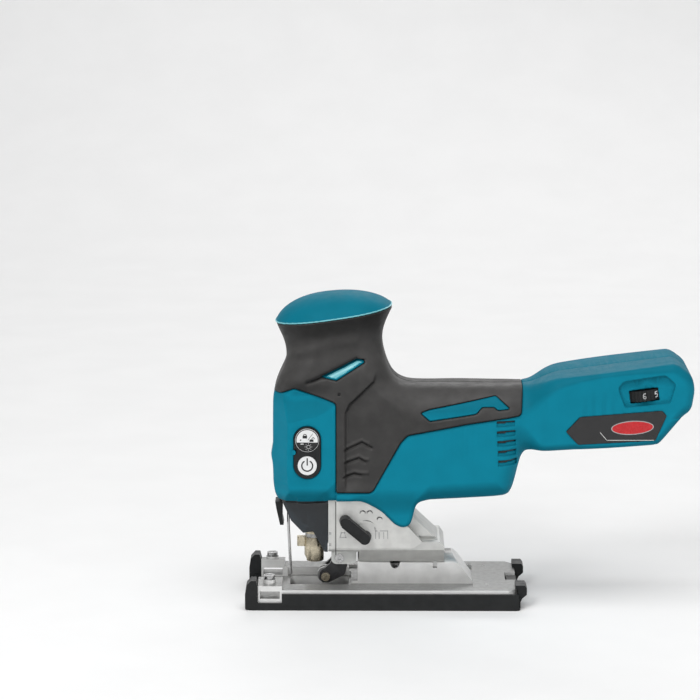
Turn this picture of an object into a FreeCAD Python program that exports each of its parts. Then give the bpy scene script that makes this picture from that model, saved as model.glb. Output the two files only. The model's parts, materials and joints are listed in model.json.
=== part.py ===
import FreeCAD, Part
import math
import os

import Sketcher
from FreeCAD import Placement, Rotation, Vector

# Cordless barrel-grip jigsaw, without its battery and blade.
# Lengths are in millimetres and angles in degrees.  While it is laid out, X = 0 is the
# plunger's axis, +X runs towards the battery mount, -Y is the tool's left side and Z = 0 is
# the sole.  Every piece is then moved by shift_x, so that the origin lies under the middle of
# the tool's length.

os.makedirs("parts", exist_ok=True)
doc = FreeCAD.newDocument("Jigsaw")
sheet = doc.addObject("Spreadsheet::Sheet", "Dims")

# ---------------------------------------------------------------- driving dimensions
SIZES = {
    "shift_x": 95.0,
    "slack": 0.05,
    # base plate and its shoe
    "base_front": -34.2,
    "base_rear": 124.6,
    "base_half": 36.5,
    "plate_top": 12.3,
    "plate_skin": 3.2,
    "shoe_floor": 2.0,
    "shoe_half": 38.5,
    "shoe_top": 10.1,
    "shoe_front": -42.0,
    "shoe_step": -19.5,
    "shoe_rear": 126.4,
    "clip_rear": 130.4,
    "box_inner": 22.0,
    "box_rear": -19.4,
    "box_high": 17.0,
    "box_low": 14.8,
    "guide_front": -33.0,
    "guide_back": -20.8,
    "guide_low": 6.9,
    "guide_high": 11.5,
    "pocket_front": -17.6,
    "pocket_rear": 22.6,
    "pocket_half": 21.4,
    "blade_half": 9.0,
    "screw_x": -27.3,
    "screw_y": 29.0,
    # tilting saddle
    "tilt_z": 11.6,
    "hump_radius": 17.9,
    "hump_half": 13.0,
    "hump_front": 26.6,
    "hump_rear": 97.0,
    "bolt_x": 49.7,
    "bolt_radius": 2.5,
    "slot_half": 3.1,
    "hollow_radius": 11.6,
    # gear housing
    "gear_half": 22.0,
    "gear_wall": 2.4,
    "gear_front": 13.2,
    "strip_front": 8.7,
    "strip_half": 20.0,
    "strip_low": 32.0,
    "strip_top": 66.2,
    "gear_back": 47.0,
    "gear_top": 116.4,
    "flank_top": 39.2,
    "foot_half": 13.9,
    "foot_low": 25.2,
    "foot_rear": 80.0,
    "foot_front": 27.4,
    "foot_step": 32.4,
    "nose_front": -10.0,
    "nose_half": 9.8,
    "nose_top": 128.0,
    # drive train
    "stroke": 26.0,
    "crank_z": 69.0,
    "gear_distance": 22.0,
    "gear_teeth": 34,
    "pinion_teeth": 10,
    "tooth_module": 1.0,
    "gear_face": 21.5,
    "gear_width": 6.0,
    "cam_offset": 4.0,
    "cam_radius": 8.0,
    "cam_width": 2.5,
    "pin_radius": 1.8,
    "roller_radius": 3.0,
    "plunger_radius": 4.5,
    "plunger_low": 36.0,
    "plunger_top": 122.0,
    "bush_radius": 7.4,
    "lower_bush": 67.8,
    "upper_bush": 115.8,
    "bush_length": 9.7,
    "yoke_front": 14.0,
    "yoke_back": 18.0,
    "yoke_half": 18.4,
    # motor
    "shaft_radius": 2.5,
    "stator_radius": 20.6,
    "stator_bore": 12.6,
    "stator_front": 54.0,
    "stator_rear": 82.0,
    "core_radius": 10.2,
    "magnet_radius": 12.2,
    "fan_front": 90.0,
    "fan_rear": 100.0,
    "fan_radius": 18.5,
    "bearing_radius": 8.0,
    "bearing_width": 5.0,
    # blade clamp and retainer
    "clamp_radius": 5.2,
    "sleeve_radius": 6.5,
    "clamp_low": 22.4,
    "clamp_top": 41.5,
    "roller_x": 6.8,
    "roller_z": 13.7,
    "guide_roller": 5.2,
    "pivot_x": 15.4,
    "pivot_z": 26.2,
    # handle
    "skin": 3.0,
    "overmould": 1.4,
    "tail_half": 30.5,
    # controls
    "button_x": -4.0,
    "light_z": 104.2,
    "power_z": 88.4,
    "light_radius": 7.2,
    "power_radius": 5.8,
    "bezel_half": 8.2,
    "panel_y": 27.0,
    "lever_x": 31.1,
    "lever_z": 42.6,
    "dial_x": 200.5,
    "dial_y": -19.0,
    "dial_z": 132.6,
    "dial_radius": 12.4,
    "dial_tilt": 7.5,
}

# The handle's column: level of each cross-section where it meets X = 0, then its front, back
# and half width, its front and back corner radii, and how far its plane tips up to the rear.
COLUMN = {
    "hem": (61.2, -18.6, 55.0, 20.0, 5.0, 5.0, 0.0),
    "skirt": (67.0, -24.7, 56.0, 26.8, 9.0, 5.0, 0.0),
    "panel": (90.0, -25.5, 56.0, 27.0, 11.0, 5.0, 0.0),
    "brow": (112.0, -25.3, 56.0, 27.0, 11.0, 5.0, 0.0),
    "shoulder": (131.0, -24.3, 54.0, 26.8, 13.0, 8.0, 0.0),
    "chest": (144.0, -20.2, 45.5, 26.4, 17.0, 14.0, 0.0),
    "waist": (154.5, -16.9, 41.9, 24.4, 19.0, 18.0, 0.0),
    "neck": (162.0, -17.7, 41.4, 23.0, 20.0, 20.0, 5.0),
    "flare": (170.6, -21.0, 44.0, 26.0, 23.0, 23.0, 7.5),
    "rim": (176.6, -23.4, 47.7, 30.4, 29.0, 29.0, 8.2),
}
# The cap: height of each section over the rim, then front, back, half width and corner radius.
CAP = {
    "cap_edge": (0.0, -23.4, 47.7, 30.4, 29.0),
    "cap_side": (4.0, -21.4, 45.4, 28.6, 27.4),
    "cap_brow": (9.0, -16.4, 38.0, 23.4, 22.4),
    "cap_top": (12.2, -9.0, 26.5, 15.4, 14.8),
    "cap_crown": (13.2, -2.0, 14.0, 7.2, 6.8),
}
# The arm and the tail: X of each section, then its low and high faces, half width, and lower
# and upper corner radii.
ARM = {
    "arm_root": (22.0, 66.0, 134.0, 26.4, 10.0, 18.0),
    "arm_front": (62.0, 64.3, 135.4, 28.2, 13.0, 21.0),
    "arm_rear": (112.0, 67.6, 135.4, 28.2, 13.0, 21.0),
    "arm_end": (130.0, 68.8, 135.6, 27.5, 13.0, 20.0),
}
TAIL = {
    "tail_root": (119.0, 96.0, 134.2, 24.0, 8.0, 16.0),
    "tail_neck": (130.0, 96.4, 134.9, 25.6, 7.0, 14.0),
    "tail_swell": (136.0, 96.8, 137.2, 27.2, 6.5, 12.0),
    "tail_shoulder": (142.0, 97.3, 140.2, 29.3, 6.0, 9.0),
    "tail_front": (148.0, 97.8, 142.4, 30.5, 5.0, 7.0),
    "tail_middle": (180.0, 99.8, 146.6, 30.5, 5.0, 7.0),
    "tail_back": (212.0, 101.9, 150.7, 30.5, 5.0, 7.0),
    "tail_end": (232.5, 103.3, 153.4, 30.5, 5.0, 7.0),
}
TABLES = (
    (COLUMN, ("level", "front", "back", "half", "front_round", "back_round", "tilt")),
    (CAP, ("level", "front", "back", "half", "round")),
    (ARM, ("station", "low", "high", "half", "low_round", "high_round")),
    (TAIL, ("station", "low", "high", "half", "low_round", "high_round")),
)
for table, fields in TABLES:
    for section, numbers in table.items():
        for field, number in zip(fields, numbers):
            SIZES[f"{section}_{field}"] = number

for row, (word, number) in enumerate(SIZES.items(), start=1):
    sheet.set(f"A{row}", word)
    sheet.set(f"B{row}", str(number))
    sheet.setAlias(f"B{row}", word)
doc.recompute()


class Size:
    """A length as the formula that a property is bound to, with its present value."""

    def __init__(self, formula, value):
        self.formula = formula
        self.value = value

    def __add__(self, other):
        other = size(other)
        return Size(f"({self.formula} + {other.formula})", self.value + other.value)

    def __sub__(self, other):
        other = size(other)
        return Size(f"({self.formula} - {other.formula})", self.value - other.value)

    def __mul__(self, factor):
        factor = size(factor)
        return Size(f"({self.formula} * {factor.formula})", self.value * factor.value)

    def __radd__(self, other):
        return size(other) + self

    def __rsub__(self, other):
        return size(other) - self

    def __rmul__(self, factor):
        return self * factor

    def __neg__(self):
        return size(0) - self

    def __float__(self):
        return float(self.value)


def size(number):
    """A plain number or a Size, as a Size."""
    if isinstance(number, Size):
        return number
    return Size(f"{float(number):.6f}", float(number))


class Sheet:
    """Reads the sheet's cells by name."""

    def __getattr__(self, word):
        return Size(f"Dims.{word}", float(SIZES[word]))


d = Sheet()


def bind(thing, path, number):
    """Binds one property to a formula over the sheet."""
    thing.setExpression(path, size(number).formula)


def seat(thing, x, y, z):
    """Places an object in the tool's frame."""
    bind(thing, "Placement.Base.x", x - d.shift_x)
    bind(thing, "Placement.Base.y", y)
    bind(thing, "Placement.Base.z", z)


# ---------------------------------------------------------------- solids
def block(x, y, z):
    """A block between three pairs of faces."""
    solid = doc.addObject("Part::Box", "Block")
    for edge, (low, high) in zip(("Length", "Width", "Height"), (x, y, z)):
        bind(solid, edge, size(high) - low)
    seat(solid, x[0], y[0], z[0])
    return solid


TURNS = {
    "X": Rotation(Vector(0, 1, 0), 90),
    "Y": Rotation(Vector(1, 0, 0), -90),
    "Z": Rotation(),
}


def along(axis, start, across):
    """The three coordinates of a point on a line that runs along an axis."""
    first, second = across
    return {
        "X": (start, first, second),
        "Y": (first, start, second),
        "Z": (first, second, start),
    }[axis]


def rod(axis, radius, span, across=(0, 0)):
    """A round bar along an axis, from span's first value to its second."""
    solid = doc.addObject("Part::Cylinder", "Rod")
    bind(solid, "Radius", radius)
    bind(solid, "Height", size(span[1]) - span[0])
    solid.Placement = Placement(Vector(), TURNS[axis])
    seat(solid, *along(axis, span[0], across))
    return solid


def taper(axis, low_radius, high_radius, span, across=(0, 0)):
    """A cone frustum along an axis."""
    solid = doc.addObject("Part::Cone", "Taper")
    bind(solid, "Radius1", low_radius)
    bind(solid, "Radius2", high_radius)
    bind(solid, "Height", size(span[1]) - span[0])
    solid.Placement = Placement(Vector(), TURNS[axis])
    seat(solid, *along(axis, span[0], across))
    return solid


def join(*solids):
    """One solid from several that touch or overlap."""
    if len(solids) == 1:
        return solids[0]
    result = doc.addObject("Part::MultiFuse", "Join")
    result.Shapes = list(solids)
    return result


def cut(base, *tools):
    """The base without the tools."""
    result = doc.addObject("Part::Cut", "Trim")
    result.Base = base
    result.Tool = join(*tools)
    return result


def overlap(*solids):
    """What the solids have in common."""
    result = doc.addObject("Part::MultiCommon", "Overlap")
    result.Shapes = list(solids)
    return result


def group(*solids):
    """Separate solids kept as one sub-part, such as a set of like screws."""
    result = doc.addObject("Part::Compound", "Set")
    result.Links = list(solids)
    return result


def mirror(solid):
    """The same piece on the tool's other side."""
    result = doc.addObject("Part::Mirroring", "Mirror")
    result.Source = solid
    result.Normal = Vector(0, 1, 0)
    return result


def tube(axis, outer, inner, span, across=(0, 0)):
    """A round bar with a round bore."""
    bore = (size(span[0]) - 1, size(span[1]) + 1)
    return cut(rod(axis, outer, span, across), rod(axis, inner, bore, across))


def origin_plane(body, role):
    return next(plane for plane in body.Origin.OriginFeatures if plane.Role == role)


def sketch_on(body, plane, distance):
    """A sketch at a distance from one of its body's own planes."""
    drawing = body.newObject("Sketcher::SketchObject", "Drawing")
    drawing.AttachmentSupport = [(origin_plane(body, f"{plane}_Plane"), "")]
    drawing.MapMode = "FlatFace"
    bind(drawing, "AttachmentOffset.Base.z", distance)
    return drawing


def fix(drawing, kind, curve, end, number):
    """Holds one coordinate of a curve's end at a distance from the sketch's origin."""
    index = drawing.addConstraint(Sketcher.Constraint(kind, -1, 1, curve, end, float(number)))
    drawing.setExpression(f"Constraints[{index}]", size(number).formula)


def prism(plane, points, span):
    """A straight-sided outline, padded between two distances across its plane."""
    body = doc.addObject("PartDesign::Body", "Prism")
    facing_back = plane == "XZ"
    drawing = sketch_on(body, plane, -size(span[1]) if facing_back else span[0])
    corners = [Vector(float(u), float(v), 0) for u, v in points]
    count = len(points)
    for index in range(count):
        line = Part.LineSegment(corners[index], corners[(index + 1) % count])
        drawing.addGeometry(line, False)
    for index in range(count):
        drawing.addConstraint(Sketcher.Constraint("Coincident", index, 2, (index + 1) % count, 1))
    for index, (u, v) in enumerate(points):
        fix(drawing, "DistanceX", index, 1, u)
        fix(drawing, "DistanceY", index, 1, v)
    pad = body.newObject("PartDesign::Pad", "Pad")
    pad.Profile = drawing
    bind(pad, "Length", size(span[1]) - span[0])
    seat(body, 0, 0, 0)
    return body


def rounded_outline(drawing, u, v, radii):
    """A rectangle with four corner radii: low-low, high-low, high-high and low-high."""
    (left, right), (low, high) = u, v
    centres = (
        (left + radii[0], low + radii[0]),
        (right - radii[1], low + radii[1]),
        (right - radii[2], high - radii[2]),
        (left + radii[3], high - radii[3]),
    )
    starts = (180, 270, 0, 90)
    arcs = []
    for (centre_u, centre_v), radius, start in zip(centres, radii, starts):
        circle = Part.Circle(Vector(float(centre_u), float(centre_v), 0), Vector(0, 0, 1), float(radius))
        arc = Part.ArcOfCircle(circle, math.radians(start), math.radians(start + 90))
        arcs.append(drawing.addGeometry(arc, False))
    lines = []
    for index in range(4):
        tail = drawing.getPoint(arcs[index], 2)
        head = drawing.getPoint(arcs[(index + 1) % 4], 1)
        lines.append(drawing.addGeometry(Part.LineSegment(tail, head), False))
    for index in range(4):
        drawing.addConstraint(Sketcher.Constraint("Tangent", arcs[index], 2, lines[index], 1))
        drawing.addConstraint(Sketcher.Constraint("Tangent", lines[index], 2, arcs[(index + 1) % 4], 1))
    for index, kind in enumerate(("Horizontal", "Vertical", "Horizontal", "Vertical")):
        drawing.addConstraint(Sketcher.Constraint(kind, lines[index]))
    for arc, radius in zip(arcs, radii):
        index = drawing.addConstraint(Sketcher.Constraint("Radius", arc, float(radius)))
        drawing.setExpression(f"Constraints[{index}]", size(radius).formula)
    fix(drawing, "DistanceY", lines[0], 1, low)
    fix(drawing, "DistanceX", lines[1], 1, right)
    fix(drawing, "DistanceY", lines[2], 1, high)
    fix(drawing, "DistanceX", lines[3], 1, left)


def slab(plane, u, v, radii, span):
    """A plate with rounded corners."""
    body = doc.addObject("PartDesign::Body", "Slab")
    facing_back = plane == "XZ"
    drawing = sketch_on(body, plane, -size(span[1]) if facing_back else span[0])
    rounded_outline(drawing, tuple(map(size, u)), tuple(map(size, v)), tuple(map(size, radii)))
    pad = body.newObject("PartDesign::Pad", "Pad")
    pad.Profile = drawing
    bind(pad, "Length", size(span[1]) - span[0])
    seat(body, 0, 0, 0)
    return body


PIECES = []


def keep(name, solid):
    """Names a finished piece; its label is also its file's name."""
    solid.Label = name
    PIECES.append(solid)
    return solid


def both_sides(low, high):
    """A span of Y on the left side and its mirror image."""
    return ((-size(high), -size(low)), (size(low), size(high)))


# ---------------------------------------------------------------- base
def hump():
    """The saddle on the plate: upright sides, a round top about the tilt axis, a sloping tail."""
    top = d.tilt_z + d.hump_radius + 1
    tail = prism(
        "XZ",
        [
            (d.hump_front, 8),
            (d.hump_rear + 3, 8),
            (d.hump_rear, 12.6),
            (d.hump_rear - 8.4, 23.9),
            (d.hump_rear - 13.5, top),
            (d.hump_front, top),
        ],
        (-d.hump_half, d.hump_half),
    )
    crown = rod("X", d.hump_radius, (d.hump_front - 2, d.hump_rear + 4), (0, d.tilt_z))
    return overlap(tail, crown)


def base_plate():
    low = d.shoe_floor
    body = block((d.base_front, d.base_rear), (-d.base_half, d.base_half), (low, d.plate_top))
    channel = block((d.base_front - 1, d.pocket_front), (-d.box_inner, d.box_inner), (6.2, 20))
    boxes = [
        prism(
            "YZ",
            [(y_in, 5), (y_out, 5), (y_out, d.box_low), (y_in, d.box_high)],
            (d.base_front, d.box_rear),
        )
        for y_in, y_out in ((-d.box_inner, -d.base_half), (d.box_inner, d.base_half))
    ]
    bosses = [rod("Z", 3.9, (8, 17.6), (d.screw_x, side * d.screw_y)) for side in (-1, 1)]
    blank = cut(body, channel)
    guide = block((d.guide_front, d.guide_back), (-40, 40), (d.guide_low, d.guide_high))
    pocket = slab(
        "XY", (d.pocket_front, d.pocket_rear), (-d.pocket_half, d.pocket_half), (3, 6, 6, 3), (7.4, 20)
    )
    blade_way = slab("XY", (d.pocket_front + 2, 21), (-17, 17), (3, 3, 3, 3), (0, 20))
    seats = [
        block((d.pocket_rear - 1.6, d.hump_rear + 1), side, (d.plate_top - 1.7, 20))
        for side in both_sides(d.hump_half, 27.4)
    ]
    hollow = join(
        rod("X", d.hollow_radius, (37, 64), (0, d.tilt_z)),
        block((37, 64), (-d.hollow_radius, d.hollow_radius), (0, d.tilt_z)),
    )
    reach = 19
    fan = prism("YZ", [(0, d.tilt_z), (reach, d.tilt_z + reach), (-reach, d.tilt_z + reach)], (
        d.bolt_x - d.slot_half, d.bolt_x + d.slot_half))
    ends = []
    for turn in (-45, 0, 45):
        end = rod("Z", d.slot_half, (0, 26), (d.bolt_x, 0))
        end.Placement = Placement(Vector(), Rotation(Vector(1, 0, 0), turn))
        seat(end, d.bolt_x, 0, d.tilt_z)
        ends.append(end)
    notch = block((73.2, 75.8), (-14, -10.5), (20.6, 30))
    under = [
        block(span, side, (0, d.plate_top - d.plate_skin - 1.7))
        for span in ((27, 60), (63, 92))
        for side in both_sides(15.5, 33.5)
    ]
    under.append(block((95, 118), (-33.5, 33.5), (0, d.plate_top - d.plate_skin)))
    under.append(block((66, 92), (-10, 10), (0, 18)))
    rear_notch = block((117.9, 126), (-9.5, 8.5), (0, 20))
    corners = [
        prism("XY", [(118.8, side * 37), (126, side * 37), (126, side * 28.5)], (0, 20)) for side in (-1, 1)
    ]
    dimple_places = ((95.4, 30.2), (105.7, 25.1), (106.4, -20.3))
    dimples = [rod("Z", 1.1, (d.plate_top - 1.2, 20), place) for place in dimple_places]
    holes = [rod("Z", 2.05, (d.guide_high - 1, 20), (d.screw_x, side * d.screw_y)) for side in (-1, 1)]
    solid = join(blank, *boxes, *bosses, hump())
    tools = [guide, pocket, blade_way, hollow, fan, notch, rear_notch]
    return keep("base_plate", cut(solid, *tools, *seats, *ends, *under, *corners, *dimples, *holes))


def base_cover():
    """The plastic shoe that the plate sits in."""
    floor = slab(
        "XY", (d.shoe_front, d.shoe_rear), (-d.shoe_half, d.shoe_half), (5, 3, 3, 5), (0, d.shoe_floor)
    )
    wall_in = d.base_half + d.slack
    sides = both_sides(wall_in, d.shoe_half)
    walls = [block((d.shoe_step, d.shoe_rear - 1), side, (0.5, d.shoe_top)) for side in sides]
    low_walls = [block((d.base_front - 1, d.shoe_step + 1), side, (0.5, 4.4)) for side in sides]
    front_in = d.base_front - 0.1
    front = block((-38.5, front_in), (-wall_in, wall_in), (0.5, 5.6))
    horns = []
    for side in (-1, 1):
        outline = [
            (d.shoe_front, 1),
            (front_in, 1),
            (front_in, 14.5),
            (-35.4, 18.6),
            (-38.4, 18.6),
            (-41.2, 15.6),
            (d.shoe_front, 10),
        ]
        horn = prism("XZ", outline, (27.5, d.shoe_half) if side > 0 else (-d.shoe_half, -27.5))
        horns.append(horn)
    rear_in = d.base_rear + 0.1
    rear = block((rear_in, d.shoe_rear), (-d.shoe_half + 2, d.shoe_half - 2), (0.5, 7))
    clips = []
    for side in (-1, 1):
        low, high = (20.5, 33.5) if side > 0 else (-33.5, -20.5)
        outline = [
            (rear_in, 4),
            (d.shoe_rear, 4),
            (127.6, 6.6),
            (d.clip_rear, 9),
            (d.clip_rear, 13),
            (129.2, 14.8),
            (123.4, 14.8),
            (123.4, d.plate_top + 0.05),
            (rear_in, d.plate_top + 0.05),
        ]
        clips.append(prism("XZ", outline, (low, high)))
    tab = block((119, rear_in + 0.2), (-7, 6), (d.shoe_floor - 0.5, 11.2))
    blade_way = slab("XY", (-44, 14), (-d.blade_half, d.blade_half), (1, 3, 3, 1), (-1, 30))
    key_way = slab("XY", (40, 60), (-8, 8), (3, 3, 3, 3), (-1, 5))
    parts = [floor, front, rear, tab, *walls, *low_walls, *horns, *clips]
    return keep("base_cover", cut(join(*parts), blade_way, key_way))


def guide_screws():
    """Screws that clamp a rip guide's bar in the slots of the front boxes."""
    screws = []
    for side in (-1, 1):
        place = (d.screw_x, side * d.screw_y)
        shank = rod("Z", 2.0, (d.guide_high + 0.3, 18), place)
        head = rod("Z", 3.3, (17.6, 20.2), place)
        key = block((d.screw_x - 2.6, d.screw_x + 2.6), (side * d.screw_y - 0.5, side * d.screw_y + 0.5), (19.2, 21))
        screws.append(cut(join(shank, head), key))
    return keep("guide_rule_screws", group(*screws))


def saddle_bolt():
    """The bolt and arched shoe that clamp the base to the gear housing from inside the hump."""
    place = (d.bolt_x, 0)
    shank = rod("Z", d.bolt_radius, (d.tilt_z + 4, 42), place)
    head = rod("Z", 4.2, (d.tilt_z + 3, d.tilt_z + 7), place)
    socket = rod("Z", 2.2, (d.tilt_z + 2, d.tilt_z + 5.4), place)
    keep("base_clamp_bolt", cut(join(shank, head), socket))
    outer = d.hollow_radius - 0.3
    arch = tube("X", outer, outer - 1.9, (41, 58.4), (0, d.tilt_z))
    bounds = prism(
        "YZ",
        [(0, d.tilt_z + 5), (5.4, d.tilt_z + 7), (5.4, d.tilt_z + 14), (-5.4, d.tilt_z + 14), (-5.4, d.tilt_z + 7)],
        (40, 60),
    )
    flat = block((45, 54.4), (-4.6, 4.6), (d.tilt_z + 7, d.tilt_z + 10))
    shoe = join(overlap(arch, bounds), flat)
    keep("base_clamp_shoe", cut(shoe, rod("Z", d.bolt_radius + 0.05, (10, 40), place)))


# ---------------------------------------------------------------- gear housing
def gear_housing():
    body = prism(
        "XZ",
        [
            (d.gear_front, d.foot_step + 2.8),
            (61.4, d.foot_step + 2.8),
            (66.4, d.flank_top),
            (58.4, 47.9),
            (d.gear_back, 57.5),
            (d.gear_back, d.gear_top),
            (d.gear_front, d.gear_top),
        ],
        (-d.gear_half, d.gear_half),
    )
    ridge = prism(
        "XZ",
        [(44, d.foot_step), (d.foot_rear, d.foot_step), (d.foot_rear, 35.4), (61, 53.2), (50, 62), (44, 62)],
        (-15.5, 15.5),
    )
    flanks = []
    for side in (-1, 1):
        outline = [
            (0, d.foot_low),
            (side * d.foot_half, d.foot_low),
            (side * (d.gear_half - 1.4), d.foot_step + 1.4),
            (side * d.gear_half, d.flank_top),
            (0, d.flank_top),
        ]
        flanks.append(prism("YZ", outline, (d.gear_front, d.foot_rear)))
    step = block((d.gear_front - 1, d.foot_front), (-30, 30), (20, d.foot_step))
    chamfer = prism("XZ", [(73, 45), (82, 45), (82, 30), (d.foot_rear, 35.4)], (-30, 30))
    foot = cut(join(*flanks), step, chamfer)
    nose = block((d.nose_front, d.gear_front + 1), (-d.nose_half, d.nose_half), (d.strip_top + 0.4, d.nose_top))
    saddle = rod("X", d.hump_radius + 0.25, (20, 90), (0, d.tilt_z))
    inside = d.gear_half - d.gear_wall
    chamber = block((d.gear_front - 1, 36), (-inside, inside), (49.4, d.gear_top - 3))
    slide_way = block((-8, d.gear_front + 1), (-6.2, 6.2), (d.lower_bush + d.bush_length, d.upper_bush))
    plunger_way = rod("Z", d.plunger_radius + 0.6, (60, 130))
    bush_seats = [
        rod("Z", d.bush_radius, (60, d.lower_bush + d.bush_length)),
        rod("Z", d.bush_radius, (d.upper_bush, d.nose_top + 1)),
    ]
    motor_z = d.crank_z + d.gear_distance
    bores = [
        rod("X", 4.4, (30, 50), (0, d.crank_z)),
        rod("X", d.bearing_radius, (35.9, d.gear_back - 5), (0, d.crank_z)),
        rod("X", 6.4, (35, 50), (0, motor_z)),
        rod("X", d.bearing_radius, (d.gear_back - d.bearing_width, 50), (0, motor_z)),
    ]
    bolt_hole = rod("Z", d.bolt_radius, (20, 43), (d.bolt_x, 0))
    lever_hole = rod("Y", 3.05, (-30, -8), (d.lever_x, d.lever_z))
    key_slot = block((60, 76), (-16, -13.6), (d.flank_top + 0.6, d.flank_top + 2.2))
    cover_seat = block((d.strip_front, d.gear_front), (-d.strip_half, d.strip_half), (30, d.strip_top + 0.4))
    arc_ridge = cut(
        tube("Y", 9.9, 8.6, (-d.gear_half - 0.5, -d.gear_half + 0.5), (d.lever_x, d.lever_z)),
        block((0, 80), (-30, 0), (20, d.lever_z + 3)),
        block((0, d.lever_x - 4), (-30, 0), (20, 70)),
    )
    marks = [
        rod("Y", 1.3, (-d.gear_half - 0.3, -d.gear_half + 0.5), place)
        for place in ((29.8, 57.2), (34.2, 57.2), (40.4, 53.2))
    ]
    screw_holes = [
        rod("X", 1.5, (d.gear_front - 1, 24), (side * 17.2, z)) for side in (-1, 1) for z in (37.0, 44.0)
    ]
    ears = [
        block((d.gear_front, 23), side, (35.2, 49.5)) for side in both_sides(14.5, d.gear_half - 0.5)
    ]
    solid = join(body, ridge, foot, nose, *marks, arc_ridge)
    hollowed = cut(
        solid, saddle, chamber, slide_way, plunger_way, bolt_hole, lever_hole, key_slot, cover_seat,
        *bush_seats, *bores,
    )
    return keep("gear_housing", cut(join(hollowed, *ears), *screw_holes, saddle))


def gear_front_cover():
    plate = slab(
        "YZ", (-d.strip_half, d.strip_half), (d.strip_low, d.strip_top), (3, 3, 1, 1), (d.strip_front, d.gear_front)
    )
    spigot = block((d.gear_front - 1, d.gear_front + 0.6), (-13.8, 13.8), (50, d.strip_top - 1))
    holes = [
        rod("X", 1.7, (0, 30), (side * 17.2, z)) for side in (-1, 1) for z in (37.0, 44.0)
    ]
    sinks = [
        rod("X", 2.9, (0, d.strip_front + 1.8), (side * 17.2, z)) for side in (-1, 1) for z in (37.0, 44.0)
    ]
    keep("gear_housing_front_cover", cut(join(plate, spigot), *holes, *sinks))
    screws = []
    for side in (-1, 1):
        for z in (37.0, 44.0):
            place = (side * 17.2, z)
            shank = rod("X", 1.5, (d.strip_front + 1, 23), place)
            head = rod("X", 2.7, (d.strip_front + 0.2, d.strip_front + 1.8), place)
            cross = block((0, d.strip_front + 0.9), (side * 17.2 - 1.7, side * 17.2 + 1.7), (z - 0.35, z + 0.35))
            screws.append(cut(join(shank, head), cross))
    keep("front_cover_screws", group(*screws))


# ---------------------------------------------------------------- drive train
def gear_outline(teeth, tip, root, backlash, turn):
    """Points of an involute spur gear, thinned by a backlash, one tooth centred at the turn."""
    pitch = teeth * SIZES["tooth_module"] / 2
    pressure = math.radians(20)
    base = pitch * math.cos(pressure)

    def half_angle(radius):
        inside = max(radius, base)
        slope = math.acos(base / inside)
        rolled = math.tan(slope) - slope
        start = math.tan(pressure) - pressure
        return math.pi / (2 * teeth) - backlash / (2 * pitch) + start - rolled

    levels = [root] + [max(base, root) + (tip - max(base, root)) * step / 4 for step in range(5)]
    points = []
    for tooth in range(teeth):
        centre = turn + 2 * math.pi * tooth / teeth
        for side, radii in ((-1, levels), (1, reversed(levels))):
            for radius in radii:
                angle = centre + side * half_angle(radius)
                points.append((radius * math.cos(angle), radius * math.sin(angle)))
    return points


def toothed_disc(name, teeth, tip, root, backlash, turn, span, centre_z):
    """A spur gear's blank with its teeth, from Part's own functions because no primitive has teeth."""
    points = gear_outline(teeth, tip, root, backlash, turn)
    corners = [Vector(0, u, v) for u, v in points]
    face = Part.Face(Part.makePolygon(corners + corners[:1]))
    solid = doc.addObject("Part::Feature", name)
    solid.Shape = face.extrude(Vector(float(span[1] - span[0]), 0, 0))
    seat(solid, span[0], 0, centre_z)
    return solid


def drive_gear():
    face = (d.gear_face, d.gear_face + d.gear_width)
    gear = toothed_disc(
        "Gear_teeth", SIZES["gear_teeth"], 17.9, 15.7, 0.16, math.radians(90), face, d.crank_z
    )
    half = d.stroke * 0.5
    cam_span = (d.gear_face + d.gear_width, d.gear_face + d.gear_width + d.cam_width)
    cam = rod("X", d.cam_radius, cam_span, (0, d.crank_z + d.cam_offset))
    windows = [
        rod("X", 3.0, (10, d.gear_face + d.gear_width + 0.1), (11.2 * math.cos(turn), d.crank_z + 11.2 * math.sin(turn)))
        for turn in (math.radians(30), math.radians(150), math.radians(90))
    ]
    pin_hole = rod("X", d.pin_radius, (10, d.gear_face + 4), (0, d.crank_z - half))
    shaft_hole = rod("X", 3.0, (10, 40), (0, d.crank_z))
    keep("drive_gear", cut(join(gear, cam), pin_hole, shaft_hole, *windows))
    keep("gear_shaft", rod("X", 3.0, (d.gear_face + 0.4, d.gear_back - 4.6), (0, d.crank_z)))
    place = (0, d.crank_z - half)
    keep("crank_pin", rod("X", d.pin_radius, (d.yoke_back + 0.35, d.gear_face + 4), place))
    roller_span = (d.yoke_back + 0.4, d.gear_face - 0.2)
    keep("crank_roller", tube("X", d.roller_radius, d.pin_radius + 0.03, roller_span, place))


def counterweight():
    """A weight that an eccentric behind the gear drives against the plunger."""
    front = d.gear_face + d.gear_width + d.cam_width + 0.4
    back = front + 4.0
    slot_half = d.cam_radius + 0.06
    middle = d.crank_z + d.cam_offset
    plate = slab("YZ", (-18.6, 18.6), (middle - 15.5, middle + 12.4), (6, 6, 2, 2), (front, back))
    window = block((20, 40), (-12.3, 12.3), (middle - slot_half, middle + slot_half))
    return keep("counterweight", cut(plate, window))


def bearing(outer, inner, start, centre):
    """A shielded ball bearing: two races with a shield set back between them."""
    end = start + d.bearing_width
    middle = (outer + inner) * 0.5
    gap = (outer - inner) * 0.17
    races = [
        tube("X", outer, middle + gap, (start, end), centre),
        tube("X", middle - gap, inner, (start, end), centre),
    ]
    shield = tube("X", middle + gap, middle - gap, (start + 0.8, end - 0.8), centre)
    return join(*races, shield)


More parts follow.
